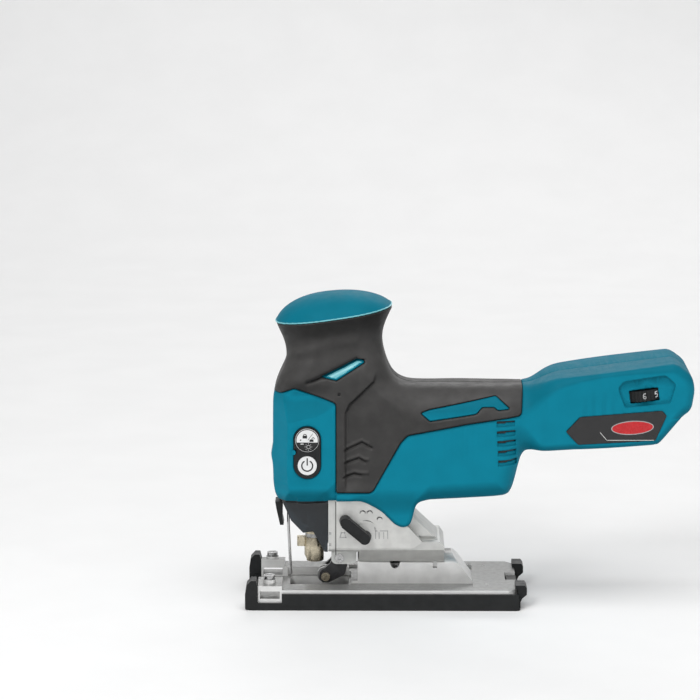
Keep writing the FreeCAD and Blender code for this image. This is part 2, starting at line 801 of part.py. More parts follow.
def plunger():
    bar = rod("Z", d.plunger_radius, (d.plunger_low, d.plunger_top))
    half = d.stroke * 0.5
    pin_z = d.crank_z - half
    high = d.lower_bush + d.bush_length + 1.2
    bridge = block((0, d.yoke_front + 1), (-5.4, 5.4), (high, high + 7.6))
    plate = slab(
        "YZ", (-d.yoke_half, d.yoke_half), (pin_z - 5.4, high + 7.6), (4, 4, 6, 6), (d.yoke_front, d.yoke_back)
    )
    slot_half = d.roller_radius + 0.04
    reach = half + d.roller_radius + 0.2
    slot = block((10, 20), (-reach, reach), (pin_z - slot_half, pin_z + slot_half))
    window = slab("YZ", (-12, 12), (pin_z + 7, high - 2), (3, 3, 3, 3), (10, 20))
    keep("plunger", cut(join(bar, bridge, plate), slot, window))
    bushes = [
        tube("Z", d.bush_radius, d.plunger_radius + 0.04, (low, low + d.bush_length))
        for low in (d.lower_bush, d.upper_bush)
    ]
    keep("plunger_bushes", group(*bushes))


def blade_clamp():
    body = join(rod("Z", d.clamp_radius, (d.clamp_low, d.clamp_top)), rod("Z", 6.0, (39.9, d.clamp_top)))
    slot = block((-3.6, 3.6), (-0.8, 0.8), (20, 34))
    seat_hole = rod("Z", d.plunger_radius, (d.plunger_low, 50))
    keep("blade_clamp_body", cut(body, slot, seat_hole))
    shell = tube("Z", d.sleeve_radius, d.clamp_radius + 0.05, (d.clamp_low + 0.8, 37.6))
    lever = slab("XY", (-11, -5.6), (-2.3, 2.3), (1.2, 1, 1, 1.2), (31.6, 37.6))
    flat = block((d.sleeve_radius - 1.0, 9), (-8, 8), (20, 31))
    bite = prism("XZ", [(-7, 22), (-3.5, 22), (-7, 27)], (-8, 8))
    keep("blade_clamp_sleeve", cut(join(shell, cut(lever, rod("Z", d.clamp_radius + 0.05, (30, 40)))), flat, bite))
    coils = [tube("Z", 6.1, d.clamp_radius + 0.1, (low, low + 0.7)) for low in (37.7, 38.45, 39.2)]
    keep("blade_clamp_spring", join(*coils, tube("Z", 5.6, d.clamp_radius + 0.1, (37.7, 39.9))))


# ---------------------------------------------------------------- blade support
def retainer():
    arms = []
    for side in (-1, 1):
        span = (4.0, 7.6) if side > 0 else (-7.6, -4.0)
        outline = [
            (8.6, 9.7),
            (18.6, 14.8),
            (20.2, 20.6),
            (19.2, 27.4),
            (16.2, 29.2),
            (12.6, 28.0),
            (9.4, 21.6),
            (3.2, 16.4),
            (2.6, 11.8),
            (5.0, 9.6),
        ]
        arms.append(prism("XZ", outline, span))
    bridge = block((14.2, 18.6), (-4.2, 4.2), (15.6, 20))
    holes = [
        rod("Y", 1.55, (-10, 10), (d.roller_x, d.roller_z)),
        rod("Y", 2.05, (-10, 10), (d.pivot_x, d.pivot_z)),
    ]
    keep("blade_retainer", cut(join(*arms, bridge), *holes))
    pin = rod("Y", 1.5, (-9.2, 7.9), (d.roller_x, d.roller_z))
    head = rod("Y", 2.7, (-9.4, -7.7), (d.roller_x, d.roller_z))
    keep("roller_pin", join(pin, head))
    wheel = tube("Y", d.guide_roller, 1.54, (-3.7, 3.7), (d.roller_x, d.roller_z))
    groove = tube("Y", d.guide_roller + 1, d.guide_roller - 1.2, (-0.9, 0.9), (d.roller_x, d.roller_z))
    keep("blade_roller", cut(wheel, groove))


def retainer_bracket():
    cheeks = [
        slab("XZ", (10.4, 25.9), (22.6, 30.9), (3.2, 3.2, 2, 2), span) for span in both_sides(7.9, 11.6)
    ]
    crown = block((d.gear_front + 0.1, 25.9), (-11.6, 11.6), (29.8, d.foot_step))
    hole = rod("Y", 2.0, (-20, 20), (d.pivot_x, d.pivot_z))
    sinks = [rod("Y", 3.0, span, (d.pivot_x, d.pivot_z)) for span in ((-13, -10.8), (10.8, 13))]
    keep("retainer_bracket", cut(join(*cheeks, crown), hole, *sinks))
    shank = rod("Y", 2.0, (-11, 10.8), (d.pivot_x, d.pivot_z))
    head = rod("Y", 2.8, (-11.5, -10.8), (d.pivot_x, d.pivot_z))
    socket = rod("Y", 1.3, (-12, -10.4), (d.pivot_x, d.pivot_z))
    keep("retainer_pivot_screw", cut(join(shank, head), socket))


def dust_cover():
    outline = [
        (-19.4, 63.2),
        (8.2, 63.2),
        (8.2, 30.4),
        (6.2, 30.4),
        (-0.9, 43.4),
        (-7.0, 42.4),
        (-14.4, 50.2),
        (-19.4, 61.3),
    ]
    body = prism("XZ", outline, (-12.2, 12.2))
    hollow = block((-17.9, 12), (-10.7, 10.7), (20, 80))
    keep("dust_cover", cut(body, hollow))


def light_and_guard():
    outline = [(-24.4, 60.9), (-19.9, 60.9), (-19.9, 50), (-19.2, 46), (-21.4, 46), (-23.6, 56)]
    holder = prism("XZ", outline, (-6.5, 6.5))
    stem = block((-21.6, -20.4), (-6.5, 6.5), (60, 67))
    lens_seat = block((-20.9, -19), (-2.6, 2.6), (51, 56))
    keep("lamp_holder", cut(join(holder, stem), lens_seat))
    keep("lamp_lens", block((-20.9, -19.8), (-2.6, 2.6), (51, 56)))
    path = [(-14.9, 13.6), (-16.4, 45.0), (-16.4, 71.0), (d.nose_front + 3, 76.0)]
    rods = []
    for index in range(len(path) - 1):
        (low_x, low_z), (high_x, high_z) = path[index], path[index + 1]
        run = math.hypot(float(high_x - low_x), high_z - low_z)
        turn = math.degrees(math.atan2(float(high_x - low_x), high_z - low_z))
        solid = rod("Z", 0.9, (0, run))
        solid.Placement = Placement(Vector(), Rotation(Vector(0, 1, 0), turn))
        seat(solid, low_x, 0, low_z)
        rods.append(solid)
        ball = doc.addObject("Part::Sphere", "Bend")
        ball.Radius = 0.9
        seat(ball, low_x, 0, low_z)
        rods.append(ball)
    keep("wire_guard", cut(join(*rods), block((d.nose_front, 0), (-5, 5), (60, 90))))


def orbital_lever():
    face = -d.gear_half - 0.6
    hub = taper("Y", 3.4, 4.1, (face - 7.0, face), (d.lever_x, d.lever_z))
    turn = math.radians(140)
    reach = 15.6
    tip = (d.lever_x + reach * math.cos(turn), d.lever_z + reach * math.sin(turn))
    grip = taper("Y", 3.0, 3.7, (face - 7.0, face), tip)
    blade = doc.addObject("Part::Box", "Lever_web")
    blade.Length = reach
    blade.Width = 6.6
    blade.Height = 6.8
    blade.Placement = Placement(Vector(), Rotation(Vector(0, 1, 0), -140))
    normal = (math.cos(turn + math.pi / 2), math.sin(turn + math.pi / 2))
    seat(blade, d.lever_x - 3.4 * normal[0], face - 6.8, d.lever_z - 3.4 * normal[1])
    keep("orbital_lever", join(hub, blade, grip))
    shaft = rod("Y", 3.0, (face, -8.6), (d.lever_x, d.lever_z))
    cam = block((d.lever_x - 4, d.lever_x + 4), (-12.6, -8.4), (d.lever_z + 1.1, d.lever_z + 4))
    keep("lever_shaft", cut(shaft, cam))


# ---------------------------------------------------------------- motor
def motor():
    centre = (0, d.crank_z + d.gear_distance)
    pitch = math.pi / SIZES["pinion_teeth"]
    nose = d.gear_face - 0.2
    face = (nose, nose + d.gear_width + 0.4)
    pinion = toothed_disc(
        "Pinion_teeth", SIZES["pinion_teeth"], 5.9, 3.75, 0.16, math.radians(-90) + pitch, face, centre[1]
    )
    shaft = rod("X", d.shaft_radius, (nose, 112), centre)
    neck = rod("X", 3.4, (face[1], d.gear_back - d.bearing_width - 0.4), centre)
    keep("motor_shaft", join(pinion, shaft, neck))
    core_span = (d.stator_front + 1, d.stator_rear - 1)
    keep("rotor_core", tube("X", d.core_radius, d.shaft_radius, core_span, centre))
    ring = tube("X", d.magnet_radius, d.core_radius, core_span, centre)
    upright_gap = block((50, 90), (-0.7, 0.7), (centre[1] - 40, centre[1] + 40))
    level_gap = block((50, 90), (-40, 40), (centre[1] - 0.7, centre[1] + 0.7))
    keep("rotor_magnets", cut(ring, upright_gap, level_gap))
    fan(centre)
    rear = 104.6
    motor_bearings = [
        bearing(d.bearing_radius, d.shaft_radius + 0.02, start, centre)
        for start in (d.gear_back - d.bearing_width, size(rear))
    ]
    keep("motor_bearings", group(*motor_bearings))
    keep("gear_shaft_bearing", bearing(d.bearing_radius, size(3.02), d.gear_back - 10, (0, d.crank_z)))
    holder = tube("X", 19.9, 17.6, (102, 110.6), centre)
    hub = tube("X", d.bearing_radius + 2, d.bearing_radius, (rear - 1.4, 110.6), centre)
    stop = tube("X", d.bearing_radius + 2, 5, (109.6, 111), centre)
    spokes = []
    for index in range(3):
        spoke = block((0, 3), (-1.6, 1.6), (0, 10))
        spoke.Placement = Placement(Vector(), Rotation(Vector(1, 0, 0), 60 + 120 * index))
        turn = math.radians(60 + 120 * index)
        start = (-9 * math.sin(turn) - 1.6 * math.cos(turn), 9 * math.cos(turn) - 1.6 * math.sin(turn))
        seat(spoke, rear + 1.4, start[0], centre[1] + start[1])
        spokes.append(spoke)
    keep("motor_end_bracket", join(holder, hub, stop, *spokes))
    stator(centre)


def fan(centre):
    disc = rod("X", d.fan_radius, (d.fan_front, d.fan_front + 1.6), centre)
    hub = rod("X", 7, (d.fan_front, d.fan_rear), centre)
    blades = []
    for index in range(9):
        turn = math.radians(40 * index)
        blade = block((0, 9.0), (-0.7, 0.7), (0, 12.2))
        blade.Placement = Placement(Vector(), Rotation(Vector(1, 0, 0), 40 * index))
        start = (-6.2 * math.sin(turn) - 0.7 * math.cos(turn), 6.2 * math.cos(turn) - 0.7 * math.sin(turn))
        seat(blade, d.fan_front + 1, start[0], centre[1] + start[1])
        blades.append(blade)
    keep("cooling_fan", cut(join(disc, hub, *blades), rod("X", d.shaft_radius, (80, 110), centre)))


def stator(centre):
    span = (d.stator_front, d.stator_rear)
    ring = tube("X", d.stator_radius, 16.8, span, centre)
    teeth = []
    coils = []
    for index in range(6):
        angle = 60 * index + 30
        turn = math.radians(angle)
        for family, half, low, high, x_span in (
            (teeth, 2.6, 12.0, 17.4, span),
            (coils, 4.3, 13.8, 16.2, (span[0] - 3, span[1] + 3)),
        ):
            solid = block(x_span, (-half, half), (0, high - low))
            solid.Placement = Placement(Vector(), Rotation(Vector(1, 0, 0), angle))
            start = (-low * math.sin(turn) - half * math.cos(turn), low * math.cos(turn) - half * math.sin(turn))
            seat(solid, x_span[0], start[0], centre[1] + start[1])
            family.append(solid)
    bore = rod("X", d.stator_bore + 0.2, (40, 100), centre)
    keep("stator_core", cut(join(ring, *teeth), bore))
    windings = [cut(coil, tooth) for coil, tooth in zip(coils, teeth)]
    keep("stator_coils", group(*windings))
    board = tube("X", 19.4, 8.5, (86, 87.6), centre)
    keep("sensor_board", board)


# ---------------------------------------------------------------- handle
def named(section, field):
    """One cell of a section's row in the sheet."""
    word = f"{section}_{field}"
    return Size(f"Dims.{word}", float(SIZES[word]))


def loft(plane, drawings_of, ruled):
    """A solid through sections; each is a distance, tilt, u and v spans and corner radii."""
    body = doc.addObject("PartDesign::Body", "Loft")
    drawings = []
    for distance, tilt, u, v, radii in drawings_of:
        drawing = sketch_on(body, plane, distance)
        drawing.AttachmentOffset = Placement(
            drawing.AttachmentOffset.Base, Rotation(Vector(0, 1, 0), -float(tilt))
        )
        bind(drawing, "AttachmentOffset.Base.z", distance)
        rounded_outline(drawing, u, v, radii)
        drawings.append(drawing)
    skin = body.newObject("PartDesign::AdditiveLoft", "Loft")
    skin.Profile = drawings[0]
    skin.Sections = drawings[1:]
    skin.Ruled = ruled
    seat(body, 0, 0, 0)
    return body


def column(inset):
    rows = []
    for section in COLUMN:
        level = named(section, "level")
        if section == "hem":
            level = level + inset
        if section == "rim":
            level = level - inset
        half = named(section, "half") - inset
        front = named(section, "front_round") - inset * 0.9
        back = named(section, "back_round") - inset * 0.9
        span = (named(section, "front") + inset, named(section, "back") - inset)
        rows.append((level, named(section, "tilt"), span, (-half, half), (front, back, back, front)))
    return loft("XY", rows, False)


def cap_form(inset):
    rows = []
    for section in CAP:
        lift = named(section, "level")
        if inset and section in ("cap_top", "cap_crown"):
            lift = lift - inset
        level = d.rim_level + lift
        half = named(section, "half") - inset
        corner = named(section, "round") - inset
        span = (named(section, "front") + inset, named(section, "back") - inset)
        rows.append((level, d.rim_tilt, span, (-half, half), (corner,) * 4))
    return loft("XY", rows, False)


def beam(table, inset):
    rows = []
    for section in table:
        half = named(section, "half") - inset
        low = named(section, "low_round") - inset * 0.9
        high = named(section, "high_round") - inset * 0.9
        span = (named(section, "low") + inset, named(section, "high") - inset)
        rows.append((named(section, "station"), 0, (-half, half), span, (low, low, high, high)))
    return loft("YZ", rows, True)


def form(inset):
    """The handle's outside, or the same shape a wall's thickness further in."""
    motor_end = prism(
        "XZ",
        [
            (118.4 - inset, 50),
            (125.4 - inset, 88.6),
            (128 - inset, 96 + inset),
            (140, 96 + inset),
            (140, 50),
        ],
        (-40, 40),
    )
    tail_outline = prism(
        "XZ",
        [
            (119.2, 60),
            (209.2 - inset, 60),
            (209.4 - inset, 101.2),
            (224 - inset * 1.3, 119.0 + inset),
            (229.6 - inset, 122.4 + inset),
            (231.9 - inset, 136.0),
            (229.6 - inset, 144.5 - inset),
            (219.8 - inset, 151.8 - inset),
            (216 - inset, 170),
            (119.2, 170),
        ],
        (-40, 40),
    )
    under = block((8.6, 70), (-40, 40), (50, d.strip_top - 0.2 + inset))
    arm = cut(beam(ARM, inset), motor_end)
    tail = overlap(beam(TAIL, inset), tail_outline)
    return join(cut(join(column(inset), arm), under), tail)


def spur():
    """The housing's tongue that reaches down over the gear housing's rear."""
    outline = [
        (29.8, 66.4),
        (40.5, 59.4),
        (51.2, 48.9),
        (57.4, 48.2),
        (60.6, 52.4),
        (62.2, 60.7),
        (66.5, 70.5),
        (29.8, 70.5),
    ]
    return prism("XZ", outline, (-24.3, 24.3))


def grip_region():
    """Everything that the soft grip covers, seen from the side, less the windows in it."""
    outline = [
        (-40, 134.2),
        (-19.9, 133.2),
        (-12, 135.7),
        (0.8, 130.1),
        (13.5, 123.2),
        (13.5, 70.6),
        (34.8, 70.6),
        (54.6, 104.5),
        (57.1, 106.6),
        (94.9, 114.3),
        (126.3, 119.0),
        (127.9, 140.3),
        (127.9, 200),
        (-40, 200),
    ]
    stripe = [
        (65.5, 120.6),
        (70.7, 116),
        (98.7, 120.4),
        (102.3, 124.4),
        (109.9, 124.4),
        (112, 122.5),
        (118.7, 123.2),
        (110.7, 130),
        (70.7, 122.4),
    ]
    wedge = [(8.1, 144.7), (13.6, 140.7), (30.2, 152.4), (26.9, 154.3), (19, 150.5)]
    whole = prism("XZ", outline, (-45, 45))
    windows = [prism("XZ", shape, (-45, 45)) for shape in (stripe, wedge)]
    return cut(whole, *windows)


BOSSES = (
    (-15.6, 121.0),
    (28.0, 146.0),
    (50.6, 119.0),
    (87.6, 119.5),
    (115.6, 77.0),
    (143.0, 106.0),
    (221.0, 136.0),
)


def oval(half, low, high, span):
    """A slot-shaped plate facing sideways."""
    ends = [rod("Y", half, span, (d.button_x, level)) for level in (low, high)]
    middle = block((d.button_x - half, d.button_x + half), span, (low, high))
    return join(middle, *ends)


BADGE = [(153.3, 110.4), (161.7, 119.4), (211.4, 123.4), (214.1, 120.4), (207.4, 105.0), (160.7, 102.4)]


def leaning_disc(radius, half_height, lift=0):
    """A disc about the speed dial's axis, which leans with the tail."""
    lean = math.radians(SIZES["dial_tilt"])
    disc = doc.addObject("Part::Cylinder", "Leaning_disc")
    bind(disc, "Radius", radius)
    disc.Height = 2 * half_height
    disc.Placement = Placement(Vector(), Rotation(Vector(0, 1, 0), -SIZES["dial_tilt"]))
    start = lift - half_height
    seat(disc, d.dial_x - start * math.sin(lean), d.dial_y, d.dial_z + start * math.cos(lean))
    return disc


def shell_cuts():
    """Openings of the shell for the pieces that pass through it or sit in it."""
    gear_room = prism(
        "XZ",
        [(8.5, 30), (66.6, 30), (66.6, 39.4), (58.6, 48.1), (47.2, 57.8), (47.2, 116.6), (8.5, 116.6)],
        (-d.gear_half - 0.15, d.gear_half + 0.15),
    )
    ridge_room = prism(
        "XZ",
        [(44, 30), (80.2, 30), (80.2, 35.6), (61.1, 53.6), (50.1, 62.4), (44, 62.4)],
        (-15.7, 15.7),
    )
    dust_room = block((-20.3, 9), (-12.6, 12.6), (50, 80))
    nose_room = block((d.nose_front - 0.1, 14), (-d.nose_half - 0.1, d.nose_half + 0.1), (60, d.nose_top + 0.1))
    lamp_room = block((-21.7, -20.2), (-6.6, 6.6), (58, 68))
    mount_room = battery_mount_block(0.0, 80, 80)
    tools = [gear_room, ridge_room, dust_room, nose_room, lamp_room, mount_room]
    low = d.power_z
    high = d.light_z
    for span in both_sides(d.panel_y - 3.4, 40):
        tools.append(oval(d.bezel_half, low, high, span))
    for span in both_sides(d.tail_half - 1.2, 40):
        tools.append(prism("XZ", BADGE, span))
    for index in range(5):
        level = 114.4 - 6.0 * index
        front = 111.2 + 0.3 * index
        for span in both_sides(20, 40):
            tools.append(prism("XZ", [(front, level - 1.5), (front + 11.4, level - 0.3), (
                front + 11.4, level + 2.1), (front, level + 1.2)], span))
    tools.append(leaning_disc(d.dial_radius + 0.5, 3.8))
    recess = prism(
        "XZ",
        [(184.6, 137.2), (188.1, 141.2), (212.9, 145.2), (219.4, 139.6), (216.2, 128.4), (189, 125.4)],
        (-40, -d.tail_half + 0.7),
    )
    tools.append(recess)
    return tools


def battery_mount_block(shrink, low_front, low_rear):
    """The part of the tail's underside that the battery mount fills."""
    outline = [
        (153 + shrink, low_front),
        (209.3 - shrink, low_rear),
        (221.5 - shrink, 116 - shrink),
        (221.5 - shrink, 117 - shrink),
        (153 + shrink, 117 - shrink),
    ]
    return prism("XZ", outline, (-26 + shrink, 26 - shrink))


def screw_tools(radius, span):
    return [rod("Y", radius, span, place) for place in BOSSES]


def handle():
    outside = form(0)
    within = form(d.skin)
    motor_line = (0, d.crank_z + d.gear_distance)
    stator_fit = d.stator_radius + 0.02
    rib_places = ((stator_fit, (57, 59)), (stator_fit, (77, 79)), (19.92, (104, 107)))
    ribs = [tube("X", 32, fit, span, motor_line) for fit, span in rib_places]
    cavity = cut(within, *screw_tools(3.4, (-40, 40)), *ribs)
    wall = join(cut(outside, cavity), cut(spur(), within))
    layer = overlap(cut(outside, form(d.overmould)), grip_region())
    recesses = screw_tools(3.0, (19.4, 60))
    shanks = screw_tools(1.5, (-19, 40))
    shell = cut(wall, layer, *shell_cuts(), *recesses, *shanks)
    left = block((-60, 260), (-60, 0), (0, 220))
    right = block((-60, 260), (0, 60), (0, 220))
    keep("left_housing", overlap(shell, left))
    keep("right_housing", overlap(shell, right))
    soft = cut(layer, *recesses)
    keep("left_grip", overlap(soft, left))
    keep("right_grip", overlap(soft, right))
    keep("top_cap", cut(cap_form(0), cap_form(2.6)))
    screws = []
    for x, z in BOSSES:
        shank = rod("Y", 1.5, (-18.6, 20), (x, z))
        head = rod("Y", 2.8, (19.4, 21.0), (x, z))
        drive = rod("Y", 1.3, (20.2, 22), (x, z))
        screws.append(cut(join(shank, head), drive))
    keep("housing_screws", group(*screws))


# ---------------------------------------------------------------- controls
def switches():
    """Two round buttons in an oval frame on each side, with their switch boards behind."""
    low = d.power_z
    high = d.light_z
    outer = d.panel_y + 0.9
    inner = d.panel_y - 3.4
    frame = oval(d.bezel_half - d.slack, low, high, (-outer, -inner))
    holes = [
        rod("Y", d.light_radius + 0.12, (-40, -10), (d.button_x, high)),
        rod("Y", d.power_radius + 0.12, (-40, -10), (d.button_x, low)),
    ]
    rib = block((d.button_x - d.bezel_half - 1, d.button_x - d.bezel_half + 1.6), (-40, -10), (95.4, 98.4))
    left_frame = cut(frame, *holes, rib)
    keep("switch_frames", group(left_frame, mirror(left_frame)))
    face = -(outer + 0.5)
    for name, radius, level in (
        ("light_button", d.light_radius, high),
        ("power_button", d.power_radius, low),
    ):
        cap = rod("Y", radius, (face, -(inner - 0.2)), (d.button_x, level))
        stem = rod("Y", 2.2, (-(inner - 0.1), -(inner - 0.2)), (d.button_x, level))
        button = join(cap, stem)
        keep(f"left_{name}", button)
        keep(f"right_{name}", mirror(button))
    board = slab("XZ", (-9.6, 5.2), (82, 111), (1, 1, 1, 1), (-21.8, -20.6))
    domes = [rod("Y", 2.4, (-22.2, -21.7), (d.button_x, level)) for level in (low, high)]
    left_board = join(board, *domes)
    keep("switch_boards", group(left_board, mirror(left_board)))


def speed_dial():
    wheel = leaning_disc(d.dial_radius, 3.2)
    ribs = []
    for index in range(30):
        turn = math.radians(12 * index)
        notch = doc.addObject("Part::Cylinder", "Dial_notch")
        notch.Radius = 0.55
        notch.Height = 8
        lean = math.radians(SIZES["dial_tilt"])
        notch.Placement = Placement(Vector(), Rotation(Vector(0, 1, 0), -SIZES["dial_tilt"]))
        out = (d.dial_radius + 0.15) * math.cos(turn)
        seat(
            notch,
            d.dial_x + out * math.cos(lean) + 4 * math.sin(lean),
            d.dial_y + (d.dial_radius + 0.15) * math.sin(turn),
            d.dial_z + out * math.sin(lean) - 4 * math.cos(lean),
        )
        ribs.append(notch)
    hub = leaning_disc(3, 1.5, -4.4)
    keep("speed_dial", join(cut(wheel, *ribs), hub))
    case = block((d.dial_x - 6, d.dial_x + 6), (d.dial_y - 5, d.dial_y + 6), (118.4, 126.0))
    keep("dial_potentiometer", case)


def badges():
    depth = d.tail_half - 1.2
    plate = prism("XZ", BADGE, (-(d.tail_half + 0.4), -depth))
    keep("badge_plates", group(plate, mirror(plate)))


def battery_mount():
    """The frame that a sliding battery pack hooks into from behind, with its terminal block."""
    body = battery_mount_block(0.05, 98.4, 101.9)
    channel = block((160, 240), (-20.5, 20.5), (80, 112))
    grooves = [block((160, 240), side, (103.5, 107.5)) for side in both_sides(20, 23.6)]
    keep("battery_mount", cut(body, channel, *grooves))
    base = block((163, 190), (-13, 13), (107.2, 112))
    ridges = [block((166, 189), (y - 1.6, y + 1.6), (102.4, 107.4)) for y in (-11.2, 11.2)]
    keep("terminal_block", join(base, *ridges))
    blades = [
        block((170, 186), (y - 0.4, y + 0.4), (102.6, 107.2))
        for y in (-7.0, -2.4, 2.4, 7.0)
    ]
    keep("battery_terminals", group(*blades))


def electronics():
    tray = block((141, 188), (-19, 19), (118.6, 120.4))
    rims = [block((141, 188), side, (118.6, 127)) for side in both_sides(17.6, 19)]
    keep("controller_tray", join(tray, *rims))
    board = block((142, 187), (-17.5, 17.5), (121.4, 123.0))
    chips = [block((148 + 6.5 * index, 153 + 6.5 * index), (-14, -5), (122.8, 124.6)) for index in range(5)]
    cans = [rod("Z", 4, (122.8, 134), (x, 7)) for x in (152, 163, 174)]
    legs = [rod("Z", 1.2, (120.4, 121.5), (x, y)) for x in (146, 183) for y in (-14, 14)]
    keep("controller_board", join(board, *chips, *cans, *legs))


def check_and_write():
    doc.recompute()
    broken = [thing.Name for thing in doc.Objects if {"Invalid", "Error"} & set(thing.State)]
    if broken:
        raise SystemExit(f"not computed: {broken}")
    for piece in PIECES:
        shape = piece.Shape
        if shape.isNull() or not shape.isValid() or not shape.Solids:
            raise SystemExit(f"bad shape: {piece.Label}")
    for piece in PIECES:
        piece.Shape.exportStep(f"parts/{piece.Label}.step")
        box = piece.Shape.BoundBox
        print(
            f"{piece.Label:26s} solids {len(piece.Shape.Solids):2d}  volume {piece.Shape.Volume:10.1f}  "
            f"X {box.XMin:7.1f} {box.XMax:7.1f}  Y {box.YMin:6.1f} {box.YMax:6.1f}  Z {box.ZMin:6.1f} {box.ZMax:6.1f}"
        )


base_plate()
base_cover()
guide_screws()
saddle_bolt()
gear_housing()
gear_front_cover()
drive_gear()
counterweight()
plunger()
blade_clamp()
retainer()
retainer_bracket()
dust_cover()
light_and_guard()
orbital_lever()
motor()
handle()
switches()
speed_dial()
badges()
battery_mount()
electronics()
check_and_write()
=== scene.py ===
"""Looks for the cordless barrel-grip jigsaw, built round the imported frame.

Lengths in the tables are millimetres from the plunger's axis (X to the rear), the middle
plane (Y to the right side) and the sole (Z up); place() turns them into the frame's metres.
"""

import json
import math

import bmesh
import bpy
import numpy as np
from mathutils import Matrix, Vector


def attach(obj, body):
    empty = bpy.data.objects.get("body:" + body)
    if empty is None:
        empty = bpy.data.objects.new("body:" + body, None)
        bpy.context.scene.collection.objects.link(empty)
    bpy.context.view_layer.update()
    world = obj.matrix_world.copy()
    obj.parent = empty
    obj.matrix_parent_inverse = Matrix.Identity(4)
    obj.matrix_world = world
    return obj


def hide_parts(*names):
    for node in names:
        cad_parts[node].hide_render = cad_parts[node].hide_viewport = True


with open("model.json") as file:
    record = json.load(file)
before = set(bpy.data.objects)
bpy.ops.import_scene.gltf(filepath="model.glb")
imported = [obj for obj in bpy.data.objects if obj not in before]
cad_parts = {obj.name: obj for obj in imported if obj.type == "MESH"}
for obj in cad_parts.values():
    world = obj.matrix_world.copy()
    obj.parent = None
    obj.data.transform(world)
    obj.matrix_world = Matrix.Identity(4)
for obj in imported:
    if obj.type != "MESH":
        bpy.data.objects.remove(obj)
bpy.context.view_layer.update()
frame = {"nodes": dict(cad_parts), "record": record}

NODES = frame["nodes"]
SHIFT = 95.0  # from the frame's origin forward to the plunger's axis
MM = 0.001
STEP = 0.5  # spacing of the grids that the forms are meshed from
MOST_FACES = 180000  # a form with more triangles than this is thinned to it


def place(x, y, z):
    return Vector(((x - SHIFT) * MM, y * MM, z * MM))


# ---------------------------------------------------------------- fields over a grid
# A field is negative inside its shape; lengths are millimetres.
def smooth(t):
    t = np.clip(t, 0, 1)
    return t * t * (3 - 2 * t)


def rise(at, start, width):
    """0 up to start, 1 from a width further on, smooth between."""
    return smooth((at - start) / width)


def fall(at, start, width):
    return 1 - rise(at, start, width)


def blend(a, b, share):
    return a * (1 - share) + b * share


def bell(distance, width):
    """1 at no distance, fading to 0 over a few widths."""
    return np.exp(-((distance / width) ** 2))


def spot(x, z, at, size):
    return np.exp(-(((x - at[0]) / size[0]) ** 2) - ((z - at[1]) / size[1]) ** 2)


def curve(x, table):
    """A smooth line through a table of (place, value), level beyond its ends."""
    at = np.array([row[0] for row in table], float)
    value = np.array([row[1] for row in table], float)
    slope = np.gradient(value, at)
    x = np.clip(x, at[0], at[-1])
    i = np.clip(np.searchsorted(at, x) - 1, 0, len(at) - 2)
    width = at[i + 1] - at[i]
    t = (x - at[i]) / width
    return (
        value[i] * (1 + 2 * t) * (1 - t) ** 2
        + slope[i] * width * t * (1 - t) ** 2
        + value[i + 1] * t * t * (3 - 2 * t)
        + slope[i + 1] * width * t * t * (t - 1)
    )


def soften(points, reach, passes=2):
    """Cuts each corner of a closed outline, no further than reach along its sides."""
    points = np.array(points, float)
    for step in range(passes):
        cut = []
        for i, corner in enumerate(points):
            for other in (points[i - 1], points[(i + 1) % len(points)]):
                run = other - corner
                length = np.hypot(*run)
                share = min(reach / (2 ** step) / max(length, 1e-6), 0.3)
                cut.append(corner + run * share)
        points = np.array(cut)
    return points


def outline_distance(points, x, z):
    """Signed distance to a closed outline, negative inside."""
    points = np.array(points, float)
    best = np.full(np.broadcast(x, z).shape, 1e9)
    inside = np.zeros(best.shape, bool)
    for (ax, az), (bx, bz) in zip(points, np.roll(points, -1, axis=0)):
        ex, ez = bx - ax, bz - az
        t = np.clip(((x - ax) * ex + (z - az) * ez) / (ex * ex + ez * ez + 1e-12), 0, 1)
        best = np.minimum(best, (x - ax - t * ex) ** 2 + (z - az - t * ez) ** 2)
        if az != bz:
            crossing = ((az > z) != (bz > z)) & (x < ax + ex * (z - az) / ez)
            inside ^= crossing
    return np.where(inside, -1, 1) * np.sqrt(best)


def line_distance(points, x, z):
    """Distance to an open line."""
    best = np.full(np.broadcast(x, z).shape, 1e9)
    for (ax, az), (bx, bz) in zip(points, points[1:]):
        ex, ez = bx - ax, bz - az
        t = np.clip(((x - ax) * ex + (z - az) * ez) / (ex * ex + ez * ez), 0, 1)
        best = np.minimum(best, (x - ax - t * ex) ** 2 + (z - az - t * ez) ** 2)
    return np.sqrt(best)


def both(a, b, round_by=0.0):
    """What two fields have in common, with the edge between them rounded."""
    r = np.float32(round_by) if np.isscalar(round_by) else round_by
    over = np.sqrt(np.maximum(a + r, 0) ** 2 + np.maximum(b + r, 0) ** 2)
    return np.minimum(np.maximum(a, b), -r) + over


def without(a, b, round_by=0.0):
    return both(a, -b, round_by)


class Grid:
    """A block of evenly spaced points."""

    def __init__(self, low, high, step):
        self.low = np.array(low, float)
        self.step = step
        axes = [np.arange(a, b, step, dtype=np.float32) for a, b in zip(low, high)]
        self.x, self.y, self.z = axes
        self.X = self.x[:, None, None]
        self.Y = self.y[None, :, None]
        self.Z = self.z[None, None, :]
        self.side_x = self.x[:, None]
        self.side_z = self.z[None, :]

    def side(self, field):
        """A field over X and Z as one over the whole block."""
        return np.asarray(field, np.float32)[:, None, :]

    def outline(self, points):
        return outline_distance(points, self.side_x, self.side_z)

    def box(self, x, y, z):
        across = [
            np.maximum(low - at, at - high)
            for at, (low, high) in zip((self.X, self.Y, self.Z), (x, y, z))
        ]
        return np.maximum(np.maximum(across[0], across[1]), across[2])

    def prism(self, points, y, reach=0.0):
        shape = soften(points, reach) if reach else points
        flat = self.side(self.outline(shape))
        return np.maximum(flat, np.maximum(y[0] - self.Y, self.Y - y[1]))


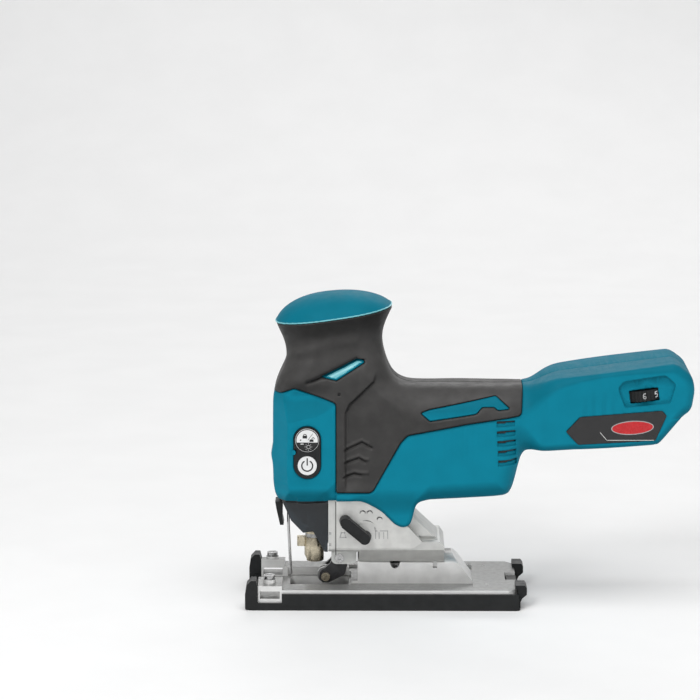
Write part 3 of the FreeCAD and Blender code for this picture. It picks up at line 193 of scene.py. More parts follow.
def cell_edges():
    """The twelve edges of a unit cell, as pairs of corners."""
    edges = []
    for axis in range(3):
        first, second = (other for other in range(3) if other != axis)
        for far_second in (0, 1):
            for far_first in (0, 1):
                start = np.zeros(3, int)
                start[first], start[second] = far_first, far_second
                end = start.copy()
                end[axis] = 1
                edges.append((start, end))
    return edges


def surface(field, grid, mirrored=False):
    """The field's zero surface as points in metres and quads (surface nets)."""
    inside = (field < 0).astype(np.uint8)
    cells_x, cells_y, cells_z = (length - 1 for length in inside.shape)
    count = sum(
        inside[i:cells_x + i, j:cells_y + j, k:cells_z + k]
        for i in (0, 1) for j in (0, 1) for k in (0, 1)
    )
    cells = np.argwhere((count > 0) & (count < 8))
    index = np.full(count.shape, -1, np.int32)
    index[tuple(cells.T)] = np.arange(len(cells))
    total = np.zeros((len(cells), 3))
    hits = np.zeros(len(cells))
    for start, end in cell_edges():
        a = field[tuple((cells + start).T)].astype(float)
        b = field[tuple((cells + end).T)].astype(float)
        cross = (a < 0) != (b < 0)
        t = np.where(cross, a / np.where(a == b, 1, a - b), 0)
        total += np.where(cross[:, None], start + t[:, None] * (end - start), 0)
        hits += cross
    points = grid.low + grid.step * (cells + total / hits[:, None])
    quads = []
    for axis in range(3):
        first, second = [(1, 2), (2, 0), (0, 1)][axis]
        lower = np.take(inside, range(inside.shape[axis] - 1), axis)
        upper = np.take(inside, range(1, inside.shape[axis]), axis)
        found = np.argwhere(lower != upper)
        keep = (found[:, first] > 0) & (found[:, second] > 0)
        keep &= found[:, first] < count.shape[first]
        keep &= found[:, second] < count.shape[second]
        found = found[keep]
        corners = []
        for back in ((1, 1), (0, 1), (0, 0), (1, 0)):
            cell = found.copy()
            cell[:, first] -= back[0]
            cell[:, second] -= back[1]
            corners.append(index[tuple(cell.T)])
        faces = np.stack(corners, 1)
        outward = lower[tuple(found.T)] == 1
        faces[~outward] = faces[~outward][:, ::-1]
        quads.append(faces)
    quads = np.concatenate(quads)
    points = (points - (SHIFT, 0, 0)) * MM
    if mirrored:
        points[:, 1] *= -1
        quads = quads[:, ::-1]
    return points, quads


def new_mesh(name, points, faces):
    """An object from arrays of points and of equal-sided faces, shaded smooth."""
    mesh = bpy.data.meshes.new(name)
    mesh.vertices.add(len(points))
    mesh.vertices.foreach_set("co", np.asarray(points, np.float32).ravel())
    sides = faces.shape[1]
    mesh.loops.add(faces.size)
    mesh.loops.foreach_set("vertex_index", faces.astype(np.int32).ravel())
    mesh.polygons.add(len(faces))
    mesh.polygons.foreach_set("loop_start", np.arange(0, faces.size, sides, dtype=np.int32))
    mesh.polygons.foreach_set("use_smooth", np.ones(len(faces), bool))
    mesh.update(calc_edges=True)
    mesh.validate()
    piece = bpy.data.objects.new(name, mesh)
    bpy.context.scene.collection.objects.link(piece)
    return piece


def part_of(grid, field, x, z):
    """The piece of a grid and its field between two places along X and two along Z."""
    i = slice(*np.searchsorted(grid.x, x))
    k = slice(*np.searchsorted(grid.z, z))
    low = (grid.x[i][0], grid.y[0], grid.z[k][0])
    high = (grid.x[i][-1] + 0.01, grid.y[-1] + 0.01, grid.z[k][-1] + 0.01)
    return field[i, :, k], Grid(low, high, grid.step)


def field_piece(name, field, grid, mirrored=False):
    points, quads = surface(field, grid, mirrored)
    piece = new_mesh(name, points, quads)
    if 2 * len(quads) > MOST_FACES:
        thin = piece.modifiers.new("Thin", "DECIMATE")
        thin.ratio = MOST_FACES / (2 * len(quads))
    return piece


# ---------------------------------------------------------------- the handle's form
RIM_LEAN = math.radians(8.2)
RIM_SLOPE = math.tan(RIM_LEAN)
RIM_LEVEL = 176.6
WALL = 2.4
SOFT_LAYER = 1.5
COLUMN_FLAT = 27.0  # half width of the flat front panel
PANEL_REAR = 13.6
NOSE_REAR = 8.6
SKIRT_TOP = 64.6
SKIRT_RECESS = 0.9
CHAMFER_BACK, CHAMFER_OUT = 0.838, 0.547  # cosine and sine of the nose chamfer's lean
# the cap's middle and half sizes along and across, and how square its outline is
CAP_MIDDLE, CAP_LONG, CAP_WIDE, CAP_SQUARE = 12.1, 35.7, 30.4, 2.35
DIAL_AT = (200.5, -19.0, 132.6)
DIAL_LEAN = math.radians(7.5)
BUTTON_X, POWER_Z, LIGHT_Z = -4.0, 88.4, 104.2
SPECK_AT = (15.4, 132.3)

# outlines and lines seen from the side, as (X, Z)
PROFILE = [
    (-27.0, 240.0), (-27.0, 189.0), (-25.4, 182.0), (-23.2, 173.2), (-21.4, 168.6),
    (-18.6, 162.6), (-16.9, 156.4), (-17.2, 150.0), (-20.4, 142.9), (-23.8, 135.0),
    (-25.2, 128.6), (-25.4, 112.0), (-25.4, 97.2), (-26.5, 94.0), (-26.6, 90.4), (-25.5, 86.4),
    (-25.2, 73.1), (-23.4, 65.0), (-18.5, 61.4), (8.6, 61.4), (8.6, 65.2), (29.4, 65.2),
    (40.5, 59.2), (50.8, 48.9), (57.6, 48.2), (60.3, 53.4), (61.6, 60.7), (63.6, 64.3),
    (67.5, 64.9), (112.0, 67.4), (118.2, 68.3), (120.6, 71.2), (122.4, 76.0), (125.4, 88.6),
    (127.6, 94.6), (131.5, 96.4), (148.0, 97.8), (208.6, 101.6), (211.0, 103.2), (224.0, 119.0),
    (229.6, 122.6), (231.7, 136.0), (229.4, 144.7), (219.8, 151.7), (215.0, 151.2),
    (180.0, 146.6), (148.4, 142.4), (142.4, 140.2), (136.4, 137.2), (130.2, 135.3),
    (112.0, 135.2), (87.0, 135.5), (71.0, 135.3), (59.8, 135.5), (54.0, 136.6), (49.2, 139.6),
    (45.9, 144.6), (43.2, 152.4), (41.6, 160.4), (41.6, 167.2), (43.4, 173.6), (47.6, 183.4),
    (51.0, 190.0), (52.0, 240.0),
]
PANEL_EDGE = [(-40, 108.2), (-21, 113.0), (1.3, 118.4), (6.7, 121.0), (12.3, 125.8), (16, 129.0)]
GRIP = [
    (-40, 132.4), (-23.5, 131.9), (-20.6, 131.6), (-12.0, 135.4), (12.4, 126.9), (13.4, 125.8),
    (13.4, 70.8), (34.0, 70.8), (36.4, 72.2), (53.2, 102.6), (57.3, 106.9),
    (94.9, 114.3), (125.2, 118.8), (126.6, 120.4), (127.9, 140.3), (127.9, 210), (-40, 210),
]
STRIPE = [
    (65.5, 120.8), (70.7, 116.2), (98.7, 120.6), (102.3, 124.6), (109.9, 124.6), (112, 122.7),
    (118.9, 123.4), (110.7, 130.2), (70.7, 122.6),
]
WEDGE = [(5.0, 142.8), (13.8, 140.9), (30.6, 151.8), (29.6, 153.2), (26.0, 153.4), (18.4, 149.4)]
SHELF = [(-3.5, 139.2), (1.0, 141.2), (5.0, 143.2), (18.4, 149.8), (26.0, 153.8)]
SCOOP = [(18.4, 73.0), (18.4, 121.0), (21.0, 126.5), (27.4, 132.6), (35.5, 140.6), (37.0, 147.0)]
NECK_RIDGE = [(-12.0, 156.6), (-2.0, 159.4), (10.0, 162.4), (24.0, 164.8)]
NECK_CREASE = [(-20.5, 135.0), (-16.0, 143.0), (-11.3, 149.6)]
CHEVRONS = [
    [(19.4, 97.0), (29.3, 102.1), (35.1, 99.1)],
    [(19.4, 89.0), (27.6, 92.2), (31.0, 90.2)],
    [(18.5, 80.0), (24.6, 82.4), (28.2, 81.8)],
]
BADGE = [
    (153.3, 110.4), (161.7, 119.4), (211.4, 123.4), (214.1, 120.4), (207.4, 105.0), (160.7, 102.4),
]
DIAL_WINDOW = [
    (184.6, 137.2), (188.1, 141.2), (212.9, 145.2), (219.4, 139.6), (216.2, 128.4), (189, 125.4),
]
GEAR_ROOM = [
    (8.5, 30), (66.6, 30), (66.6, 39.4), (58.6, 48.1), (47.2, 57.8), (47.2, 116.6), (8.5, 116.6),
]
SPUR_ROOM = [(44, 30), (80.2, 30), (80.2, 35.6), (61.1, 53.6), (50.1, 62.4), (44, 62.4)]
BATTERY_ROOM = [(153, 80), (209.3, 80), (221.6, 116), (221.6, 117.1), (153, 117.1)]
SCREWS = [
    (-15.6, 121.0), (28.0, 146.0), (50.6, 119.0), (87.6, 119.5), (115.6, 77.0), (143.0, 106.0),
    (221.0, 136.0),
]

# X of the nose's front at each Z
NOSE_FRONT = [
    (58, -17), (63.5, -22.6), (67, -24.6), (73, -25.2), (112, -25.4), (128.6, -25.2), (136, -23.4),
]
# half widths up the column by Z, and along the arm by X
COLUMN_HALF = [
    (58, 17.6), (62, 20.2), (67, 24.6), (71.5, 27.0), (80, 27.0), (112, 27.0), (131, 26.9),
    (144, 26.5), (150, 25.7), (156, 24.3), (162, 23.3), (166, 23.9), (170.6, 26.2),
    (176.6, 30.2), (184, 36),
]
ARM_HALF = [
    (-30, 27.0), (13, 27.0), (30, 27.3), (48, 27.9), (62, 28.2), (112, 28.2), (118, 27.9),
    (123, 26.9), (128, 25.8), (132, 25.9), (137, 27.6), (142, 29.6), (147, 30.4),
    (152, 30.5), (240, 30.5),
]
# radii of the long edges up the column by Z, and along the tail by X
COLUMN_ROUND = [
    (60, 2.5), (72, 3.0), (112, 4.5), (124, 7), (134, 13), (144, 16), (154, 19), (162, 21),
    (176, 27),
]
TAIL_ROUND = [(124, 15), (134, 13), (142, 9.5), (150, 7), (240, 7)]


def level_at(x, z):
    """Z, turned on the neck so that it runs square to the sloping rim."""
    return z - RIM_SLOPE * x * rise(z, 146, 30)


def half_width(x, z):
    """How far the handle's side stands out from the middle plane at each place."""
    level = level_at(x, z)
    flare = curve(level, COLUMN_HALF) - COLUMN_FLAT
    above = np.where(level > 100, flare, 0) * fall(x, 46, 12)
    below = np.where(level <= 100, flare, 0) * fall(x, 5, 8)
    half = curve(x, ARM_HALF) + above + below
    in_spur = rise(x, 20, 10) * fall(x, 60, 10)
    half = half - 3.6 * fall(z, 56, 18) * in_spur
    # upper facet of the front panel, which leans in towards the neck
    height = np.maximum(z - np.interp(x, *zip(*PANEL_EDGE)), 0)
    facet = fall(z, 127, 14) * fall(x, 9, 6)
    half = half - 0.26 * height * facet
    # lower corners of the front panel
    rear_corner = np.maximum(0, 78.0 - z - 0.9 * np.abs(x - PANEL_REAR)) * (x < PANEL_REAR)
    front_corner = np.maximum(0, 74.0 - z - 0.4 * (x + 24.0)) * (x < -10)
    return half - (0.22 * rear_corner + 0.34 * front_corner) * (z > 60)


def side_details(x, z):
    """Soft creases and hollows of the grip, as a depth below the plain side."""
    shelf_line = np.interp(x, *zip(*SHELF))
    below_shelf = np.clip(shelf_line - z, 0, 30)
    on_shelf = rise(x, -6, 6) * fall(x, 27, 6)
    depth = 1.3 * bell(line_distance(SHELF, x, z), 1.4)
    depth = depth + 2.1 * np.exp(-below_shelf / 6.0) * (z < shelf_line) * on_shelf
    depth = depth - 1.2 * bell(line_distance(NECK_RIDGE, x, z), 3.6)
    depth = depth - 0.7 * spot(x, z, (-10, 157.5), (2.6, 2.4))
    depth = depth + 0.5 * bell(line_distance(NECK_CREASE, x, z), 1.2)
    from_edge = line_distance(SCOOP, x, z)
    scoop_x, scoop_z = zip(*SCOOP)
    behind = x > np.interp(z, scoop_z, scoop_x)
    in_scoop = rise(z, 70, 9) * fall(z, 138, 9)
    depth = depth + 3.0 * smooth(from_edge / 2.0) * np.exp(-from_edge / 12.0) * behind * in_scoop
    depth = depth - 0.9 * spot(x, z, (50, 124), (11, 10))
    for chevron in CHEVRONS:
        depth = depth + 1.1 * bell(line_distance(chevron, x, z), 0.8)
        above_line = z - np.interp(x, *zip(*chevron))
        depth = depth - 0.6 * bell(above_line - 1.9, 1.1) * (np.abs(x - 26) < 8)
    return depth


def edge_radius(x, z):
    """Radius of the handle's long edges at each place."""
    column = curve(level_at(x, z), COLUMN_ROUND)
    arm = 12.0 + 8.0 * rise(z, 88, 24)
    low_arm = np.minimum(arm, 2.5 + 9.5 * rise(x, 60, 12))
    arm = np.where(z < 88, low_arm, arm)
    tail = curve(x, TAIL_ROUND) + 0 * z
    low_tail = np.minimum(tail, 5.0 + 6.0 * fall(x, 126, 14))
    tail = np.where(z < 118, low_tail, tail)
    radius = blend(column, arm, rise(x, 36, 26))
    return blend(radius, tail, rise(x, 122, 18))


def handle_form(grid):
    """The whole handle's field, and its soft layer's outline seen from the side."""
    x, z = grid.side_x.astype(float), grid.side_z.astype(float)
    edge = grid.outline(soften(PROFILE, 2.2))
    grip = grid.outline(soften(GRIP, 0.6))
    windows = np.minimum(grid.outline(soften(STRIPE, 0.5)), grid.outline(WEDGE))
    soft = np.maximum(grip, 0.25 - windows)
    half = half_width(x, z) - side_details(x, z) * smooth(-grip / 1.2)
    half = half + 0.35 * smooth(-soft / 0.9)
    half = half - 0.75 * bell(soft, 0.42)
    radius = grid.side(edge_radius(x, z))
    form = both(grid.side(edge), np.abs(grid.Y) - grid.side(half), radius)
    nose = curve(z, NOSE_FRONT) + 0 * x
    fade = 9.0 * rise(z, 131, 9)
    chamfer = grid.side(-CHAMFER_BACK * (x - nose) - fade)
    chamfer = chamfer + np.float32(CHAMFER_OUT) * (np.abs(grid.Y) - 12)
    return both(form, chamfer, 0.8), soft


def between_depths(form, outer, inner):
    """The layer between two depths below a form's surface."""
    return both(form + np.float32(outer), -(form + np.float32(inner)))


def vents(grid, form):
    """The five shallow vents in the side, and a dark sheet on the floor of the slit along each
    one's top, painted shadow in the slits.
    """
    recess, slit = None, None
    for row in range(5):
        level, front = 114.4 - 6.1 * row, 111.2 + 0.3 * row
        back = front + 11.2
        lower = [
            (front, level - 1.6), (back, level - 1.2), (back, level + 2.1), (front, level + 1.6),
        ]
        upper = [
            (front, level + 0.1), (front + 5.0, level + 0.2), (front + 5.8, level + 0.9),
            (back, level + 1.1), (back, level + 2.1), (front, level + 1.6),
        ]
        low, top = (grid.prism(shape, (-40, -15)) for shape in (lower, upper))
        recess = low if recess is None else np.minimum(recess, low)
        slit = top if slit is None else np.minimum(slit, top)
    # a dark sheet in each slit: painted shadow
    floor = both(slit - np.float32(0.2), between_depths(form, 1.5, 2.8))
    recess = both(recess, -(form + np.float32(1.1)))
    slit = both(slit, -(form + np.float32(1.9)))
    return np.minimum(recess, slit), floor


def openings(grid, left):
    """Rooms and windows cut through the shell."""
    rooms = [
        grid.prism(GEAR_ROOM, (-22.2, 22.2)),
        grid.prism(SPUR_ROOM, (-15.7, 15.7)),
        grid.box((-20.3, 9.0), (-12.6, 12.6), (50, 80)),
        grid.box((-10.2, 14.0), (-10.0, 10.0), (60, 128.2)),
        grid.box((-21.8, -20.1), (-6.7, 6.7), (58, 68)),
        grid.prism(BATTERY_ROOM, (-26.1, 26.1)),
    ]
    level = np.clip(grid.Z, POWER_Z, LIGHT_Z)
    button_slot = np.sqrt((grid.X - BUTTON_X) ** 2 + (grid.Z - level) ** 2) - 8.3
    rooms.append(np.maximum(button_slot, grid.Y + 23.5))
    rooms.append(grid.prism(BADGE, (-40, -29.2), 0.8))
    if left:
        dx, dy, dz = grid.X - DIAL_AT[0], grid.Y - DIAL_AT[1], grid.Z - DIAL_AT[2]
        along = -math.sin(DIAL_LEAN) * dx + math.cos(DIAL_LEAN) * dz
        out = math.cos(DIAL_LEAN) * dx + math.sin(DIAL_LEAN) * dz
        rooms.append(np.maximum(np.sqrt(out ** 2 + dy ** 2) - 12.9, np.abs(along) - 3.8))
        rooms.append(grid.prism(DIAL_WINDOW, (-40, -29.0), 0.8))
    return rooms


def build_handle():
    """The two housing halves, and the soft layer, vents, painted-highlight wedge and nose skirt of
    each.
    """
    grid = Grid((-29.0, -33.0, 45.0), (235.0, 1.6, 192.0), STEP)
    form, soft = handle_form(grid)
    over_rim = grid.Z - RIM_LEVEL - np.float32(RIM_SLOPE) * grid.X
    form = both(form, over_rim * np.float32(math.cos(RIM_LEAN)), 0.4)
    hollow = form + np.float32(WALL)
    layer = form + np.float32(SOFT_LAYER)
    soft = grid.side(soft)
    vent, vent_floor = vents(grid, form)
    nose_band = np.maximum(grid.Z - SKIRT_TOP, grid.X - NOSE_REAR) + 0 * grid.Y
    # a pale teal layer on the wedge: painted highlight
    inlay = both(grid.prism(WEDGE, (-40, -10)) + np.float32(0.75), form - np.float32(0.1))
    inlay = both(inlay, -(form + np.float32(1.4)))
    pieces = {}
    for side in ("left", "right"):
        half = both(form, grid.Y + np.float32(0.01), 0.2)
        wall = without(half, hollow)
        # a dark band under the nose: the black top band of the lamp holder, and painted shadow in
        # the gap above it
        skirt = both(both(wall, nose_band), form + np.float32(SKIRT_RECESS))
        shell = without(wall, both(-layer, soft - 0.02))
        shell = without(shell, vent, 0.15)
        shell = without(shell, nose_band, 0.3)
        skin = both(without(half, layer - np.float32(0.1)), soft + 0.12, 0.3)
        for room in openings(grid, side == "left"):
            shell = without(shell, room, 0.25)
            skirt = without(skirt, room)
        if side == "right":
            for x, z in SCREWS:
                well = np.sqrt((grid.X - x) ** 2 + (grid.Z - z) ** 2) - 3.0
                well = np.maximum(well, grid.Y + 19.4)
                shell = without(shell, well, 0.2)
                skin = without(skin, well, 0.2)
        else:
            x, z = SPECK_AT
            speck = np.sqrt((grid.X - x) ** 2 + (grid.Z - z) ** 2) - 0.9
            skin = without(skin, np.maximum(speck, grid.Y + 25.4))
        for kind, field in (("housing", shell), ("grip", skin)):
            piece = field_piece(f"{side}_{kind}_form", field, grid, side == "right")
            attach(piece, "housing")
            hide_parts(f"{side}_{kind}")
            pieces[f"{side}_{kind}"] = piece
        for kind, field, x, z, finish in (
            ("vent_floor", vent_floor, (108, 128), (84, 120), "ink_and_shade_black"),
            ("inlay", inlay, (4, 34), (137, 158), "highlight_teal"),
            ("nose_skirt", skirt, (-28.5, 12), (58, 68), "black_plastic"),
        ):
            small, block = part_of(grid, field, x, z)
            piece = field_piece(f"{side}_{kind}", small, block, side == "right")
            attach(piece, "housing")
            paint(piece, finish)
    return pieces


def build_cap():
    """The domed cap on the neck, with a fine bead round its rim, and a pale teal ring on the bead
    as a painted highlight.
    """
    grid = Grid((-27.0, -33.0, 168.0), (51.0, 33.0, 196.0), STEP)
    height = (grid.Z - RIM_LEVEL) * math.cos(RIM_LEAN) - grid.X * math.sin(RIM_LEAN)
    along = grid.X * math.cos(RIM_LEAN) + (grid.Z - RIM_LEVEL) * math.sin(RIM_LEAN)
    u = (along - CAP_MIDDLE) / CAP_LONG
    v = grid.Y / CAP_WIDE
    ring = (np.abs(u) ** CAP_SQUARE + np.abs(v) ** CAP_SQUARE) ** (1 / CAP_SQUARE)
    crown = 13.1 - 1.6 * u
    dome = ring ** 2.15 + (np.maximum(height, 0) / crown) ** 1.55 - 1
    slope = np.gradient(dome, STEP)
    dome = dome / np.sqrt(sum(s * s for s in slope) + 1e-6)
    dome = np.clip(dome, -20, 20)
    dome = dome - np.float32(0.45) * bell(height - 0.9, 0.6)
    field = both(dome, 0.32 - height, 0.35)
    field = without(field, dome + np.float32(WALL))
    cap = field_piece("top_cap_form", field.astype(np.float32), grid)
    # a pale teal ring on the rim's bead: painted highlight
    bead = both(np.abs(dome + 0.2) - 0.48, np.abs(height - 0.85) - 0.45, 0.1)
    bead = field_piece("cap_bead_highlight", bead.astype(np.float32), grid)
    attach(bead, "housing")
    paint(bead, "highlight_teal")
    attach(cap, "housing")
    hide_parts("top_cap")
    return cap


# ---------------------------------------------------------------- thin printed and moulded marks
def bar(start, end, width):
    """An even strip from one point to another, as an outline."""
    start, end = np.array(start, float), np.array(end, float)
    along = (end - start) / np.hypot(*(end - start)) * width / 2
    across = np.array((-along[1], along[0]))
    start, end = start - along, end + along
    return [start - across, end - across, end + across, start + across]


def line(points, width):
    return [bar(a, b, width) for a, b in zip(points, points[1:])]


def disc(x, z, radius, tall=None, turn=0.0, count=40):
    """A circle, or an oval when tall is given, as an outline."""
    tall = tall or radius
    angles = np.linspace(0, 2 * math.pi, count, endpoint=False)
    u, v = radius * np.cos(angles), tall * np.sin(angles)
    c, s = math.cos(turn), math.sin(turn)
    return list(zip(x + c * u - s * v, z + s * u + c * v))


def arc(x, z, radius, width, start, end, count=20):
    """Part of a ring, from one angle to another in degrees, as short strips."""
    angles = np.radians(np.linspace(start, end, count))
    rim = [(x + radius * math.cos(a), z + radius * math.sin(a)) for a in angles]
    return line(rim, width)


def marks(name, body, finish, shapes, at, across, up, proud=0.06, sunk=0.15):
    """Flat shapes standing a little proud of a face, as one thin piece."""
    at, across, up = (np.array(v, float) for v in (at, across, up))
    out = np.cross(across, up)
    mesh = bpy.data.meshes.new(name)
    points, faces = [], []
    for shape in shapes:
        first, count = len(points), len(shape)
        for level in (-sunk, proud):
            points += [at + u * across + v * up + level * out for u, v in shape]
        bottom = list(range(first, first + count))
        top = [i + count for i in bottom]
        faces.append(bottom[::-1])
        faces.append(top)
        for i in range(count):
            j = (i + 1) % count
            faces.append((bottom[i], bottom[j], top[j], top[i]))
    mesh.from_pydata([place(*point) for point in points], [], faces)
    solid = bmesh.new()
    solid.from_mesh(mesh)
    bmesh.ops.recalc_face_normals(solid, faces=solid.faces)
    solid.to_mesh(mesh)
    solid.free()
    piece = bpy.data.objects.new(name, mesh)
    bpy.context.scene.collection.objects.link(piece)
    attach(piece, body)
    paint(piece, finish)


DIGITS = {
    "1": [(-0.3, 0.6), (0, 1), (0, -1)],
    "2": [(-0.5, 0.7), (-0.2, 1), (0.3, 1), (0.5, 0.6), (0.4, 0.2), (-0.5, -1), (0.5, -1)],
    "3": [(-0.5, 0.9), (0.2, 1), (0.5, 0.6), (0.1, 0.1), (0.5, -0.4), (0.2, -1), (-0.5, -0.9)],
    "4": [(0.3, -1), (0.3, 1), (-0.5, -0.4), (0.5, -0.4)],
    "5": [(0.5, 1), (-0.4, 1), (-0.5, 0.1), (0.2, 0.2), (0.5, -0.3), (0.3, -1), (-0.4, -1)],
    "6": [
        (0.4, 0.9), (-0.1, 1), (-0.5, 0.3), (-0.5, -0.5), (-0.2, -1), (0.3, -1), (0.5, -0.5),
        (0.3, 0), (-0.4, -0.1),
    ],
}
DIAL_RADIUS = 12.4
DIAL_STEP = 36  # degrees from one number to the next
BUTTON_FACE = 28.4
LABEL_FACE = 28.46  # a little proud of the button's dark print
BADGE_MIDDLE, BADGE_FACE = (193.5, 113.0), 30.9
BADGE_TURN = math.radians(3.5)
GEAR_FACE = 22.0


def build_marks():
    """The printed and moulded marks of both sides, and the dial's numbers."""
    upward = (0, 0, 1)
    for side, sign in (("left", -1), ("right", 1)):
        across = (-sign, 0, 0)

        def on_side(name, body, finish, shapes, x, z, face, **sizes):
            middle = (x, sign * face, z)
            marks(f"{side}_{name}", body, finish, shapes, middle, across, upward, **sizes)

        lamp_at = (BUTTON_X, LIGHT_Z)
        power_at = (BUTTON_X, POWER_Z)
        lower = [p for p in disc(0, 0, 6.7, count=96) if p[1] < -1.2]
        locks = [bar((-1.9, 2.1), (-0.9, 2.1), 1.7), bar((2.2, -0.1), (3.1, -0.1), 1.5)]
        locks += arc(-1.4, 3.0, 0.85, 0.4, 0, 180, 9) + arc(3.7, 0.9, 0.8, 0.35, 20, 180, 9)
        locks += [bar((0.6, 0.4), (3.4, 4.2), 0.25), disc(-4.0, 0.2, 0.4)]
        dark = [lower, *locks, *arc(0, 0, 6.75, 0.5, 0, 360, 49)]
        on_side("bezel_nub", "housing", "teal_plastic", [disc(0, 0, 1.2, 1.5)], -12.2, 96.6, 28.3)
        on_side("light_dark", f"{side}_light_button", "ink_and_shade_black", dark, *lamp_at, BUTTON_FACE)
        lamp = arc(0.8, -4.0, 1.1, 0.3, 0, 360, 13) + [bar((-3.8, -2.2), (-2.4, -2.2), 0.5)]
        for turn in np.linspace(0, 2 * math.pi, 9)[:-1]:
            c, s = math.cos(turn), math.sin(turn)
            near, far = (0.8 + 1.9 * c, -4.0 + 1.9 * s), (0.8 + 2.1 * c, -4.0 + 2.1 * s)
            lamp.append(bar(near, far, 0.25))
        on_side("light_pale", f"{side}_light_button", "white_label", lamp, *lamp_at, LABEL_FACE)
        # a black disc in the small hole's floor: painted shade for the dark hole
        on_side("speck", "housing", "ink_and_shade_black", [disc(0, 0, 0.85)], *SPECK_AT, 26.0)
        power = arc(0, 0, 3.3, 0.75, 125, 415, 33) + [bar((0, 0.6), (0, 4.4), 0.75)]
        on_side("power_mark", f"{side}_power_button", "ink_and_shade_black", power, *power_at, BUTTON_FACE)
        badge = (*BADGE_MIDDLE, BADGE_FACE)
        rim = disc(0, 0, 12.9, 4.3, -sign * BADGE_TURN)
        on_side("badge_rim", "housing", "zinc_steel", [rim], *badge, proud=0.08)
        oval = disc(0, 0, 12.4, 3.8, -sign * BADGE_TURN)
        on_side("badge_oval", "housing", "red_panel", [oval], *badge, proud=0.2)
        # a pale grey line along a crease beside the badge: painted highlight
        crease = [(-19.5, -3.1), (-15.4, -7.8), (12.9, -7.7)]
        crease = line([(-sign * u, v) for u, v in crease], 0.35)
        on_side("badge_crease_highlight", "housing", "grey_plastic", crease, *badge)
        # raised cast marks on the gear housing, coloured darker steel than the casting as painted
        # shade along them
        gear = arc(-1.3, 14.7, 1.6, 0.6, 0, 180, 9) + arc(3.0, 14.7, 1.6, 0.6, 0, 180, 9)
        gear += arc(9.1, 10.8, 1.5, 0.6, 0, 180, 9) + arc(0.9, 4.6, 5.4, 0.6, 0, 180, 21)
        gear += line([(6.6, -1.2), (6.6, 3.6), (14.0, 3.6), (14.0, -1.2)], 0.5)
        gear += line([(8.8, 2.6), (8.8, -1.2)], 0.5) + line([(11.6, 2.6), (11.6, -1.2)], 0.5)
        trapezium = [(-15.2, -0.6), (-14.4, 2.4), (-12.4, 2.4), (-11.6, -0.6), (-15.2, -0.6)]
        gear += line(trapezium, 0.5)
        gear = [[(-sign * u, v) for u, v in shape] for shape in gear]
        on_side("gear_marks", "housing", "tool_steel", gear, 31.1, 42.6, GEAR_FACE, proud=0.15)
        seam = [bar((0, -11.4), (0, 21.8), 0.5)]
        on_side("cover_seam", "housing", "ink_and_shade_black", seam, 13.3, 42.6, GEAR_FACE, proud=0.03)
    along = np.array((-math.sin(DIAL_LEAN), 0, math.cos(DIAL_LEAN)))
    out = np.array((math.cos(DIAL_LEAN), 0, math.sin(DIAL_LEAN)))
    for i, digit in enumerate("654321"):
        turn = math.radians(DIAL_STEP * i)
        radial = np.array((0, -math.cos(turn), 0)) + math.sin(turn) * out
        tangent = np.array((0, math.sin(turn), 0)) + math.cos(turn) * out
        shapes = line([(u * 1.5, v * 1.6) for u, v in DIGITS[digit]], 0.5)
        at = np.array(DIAL_AT) + DIAL_RADIUS * radial
        marks(f"dial_{digit}", "speed_dial", "white_label", shapes, at, tangent, along, sunk=0.3)


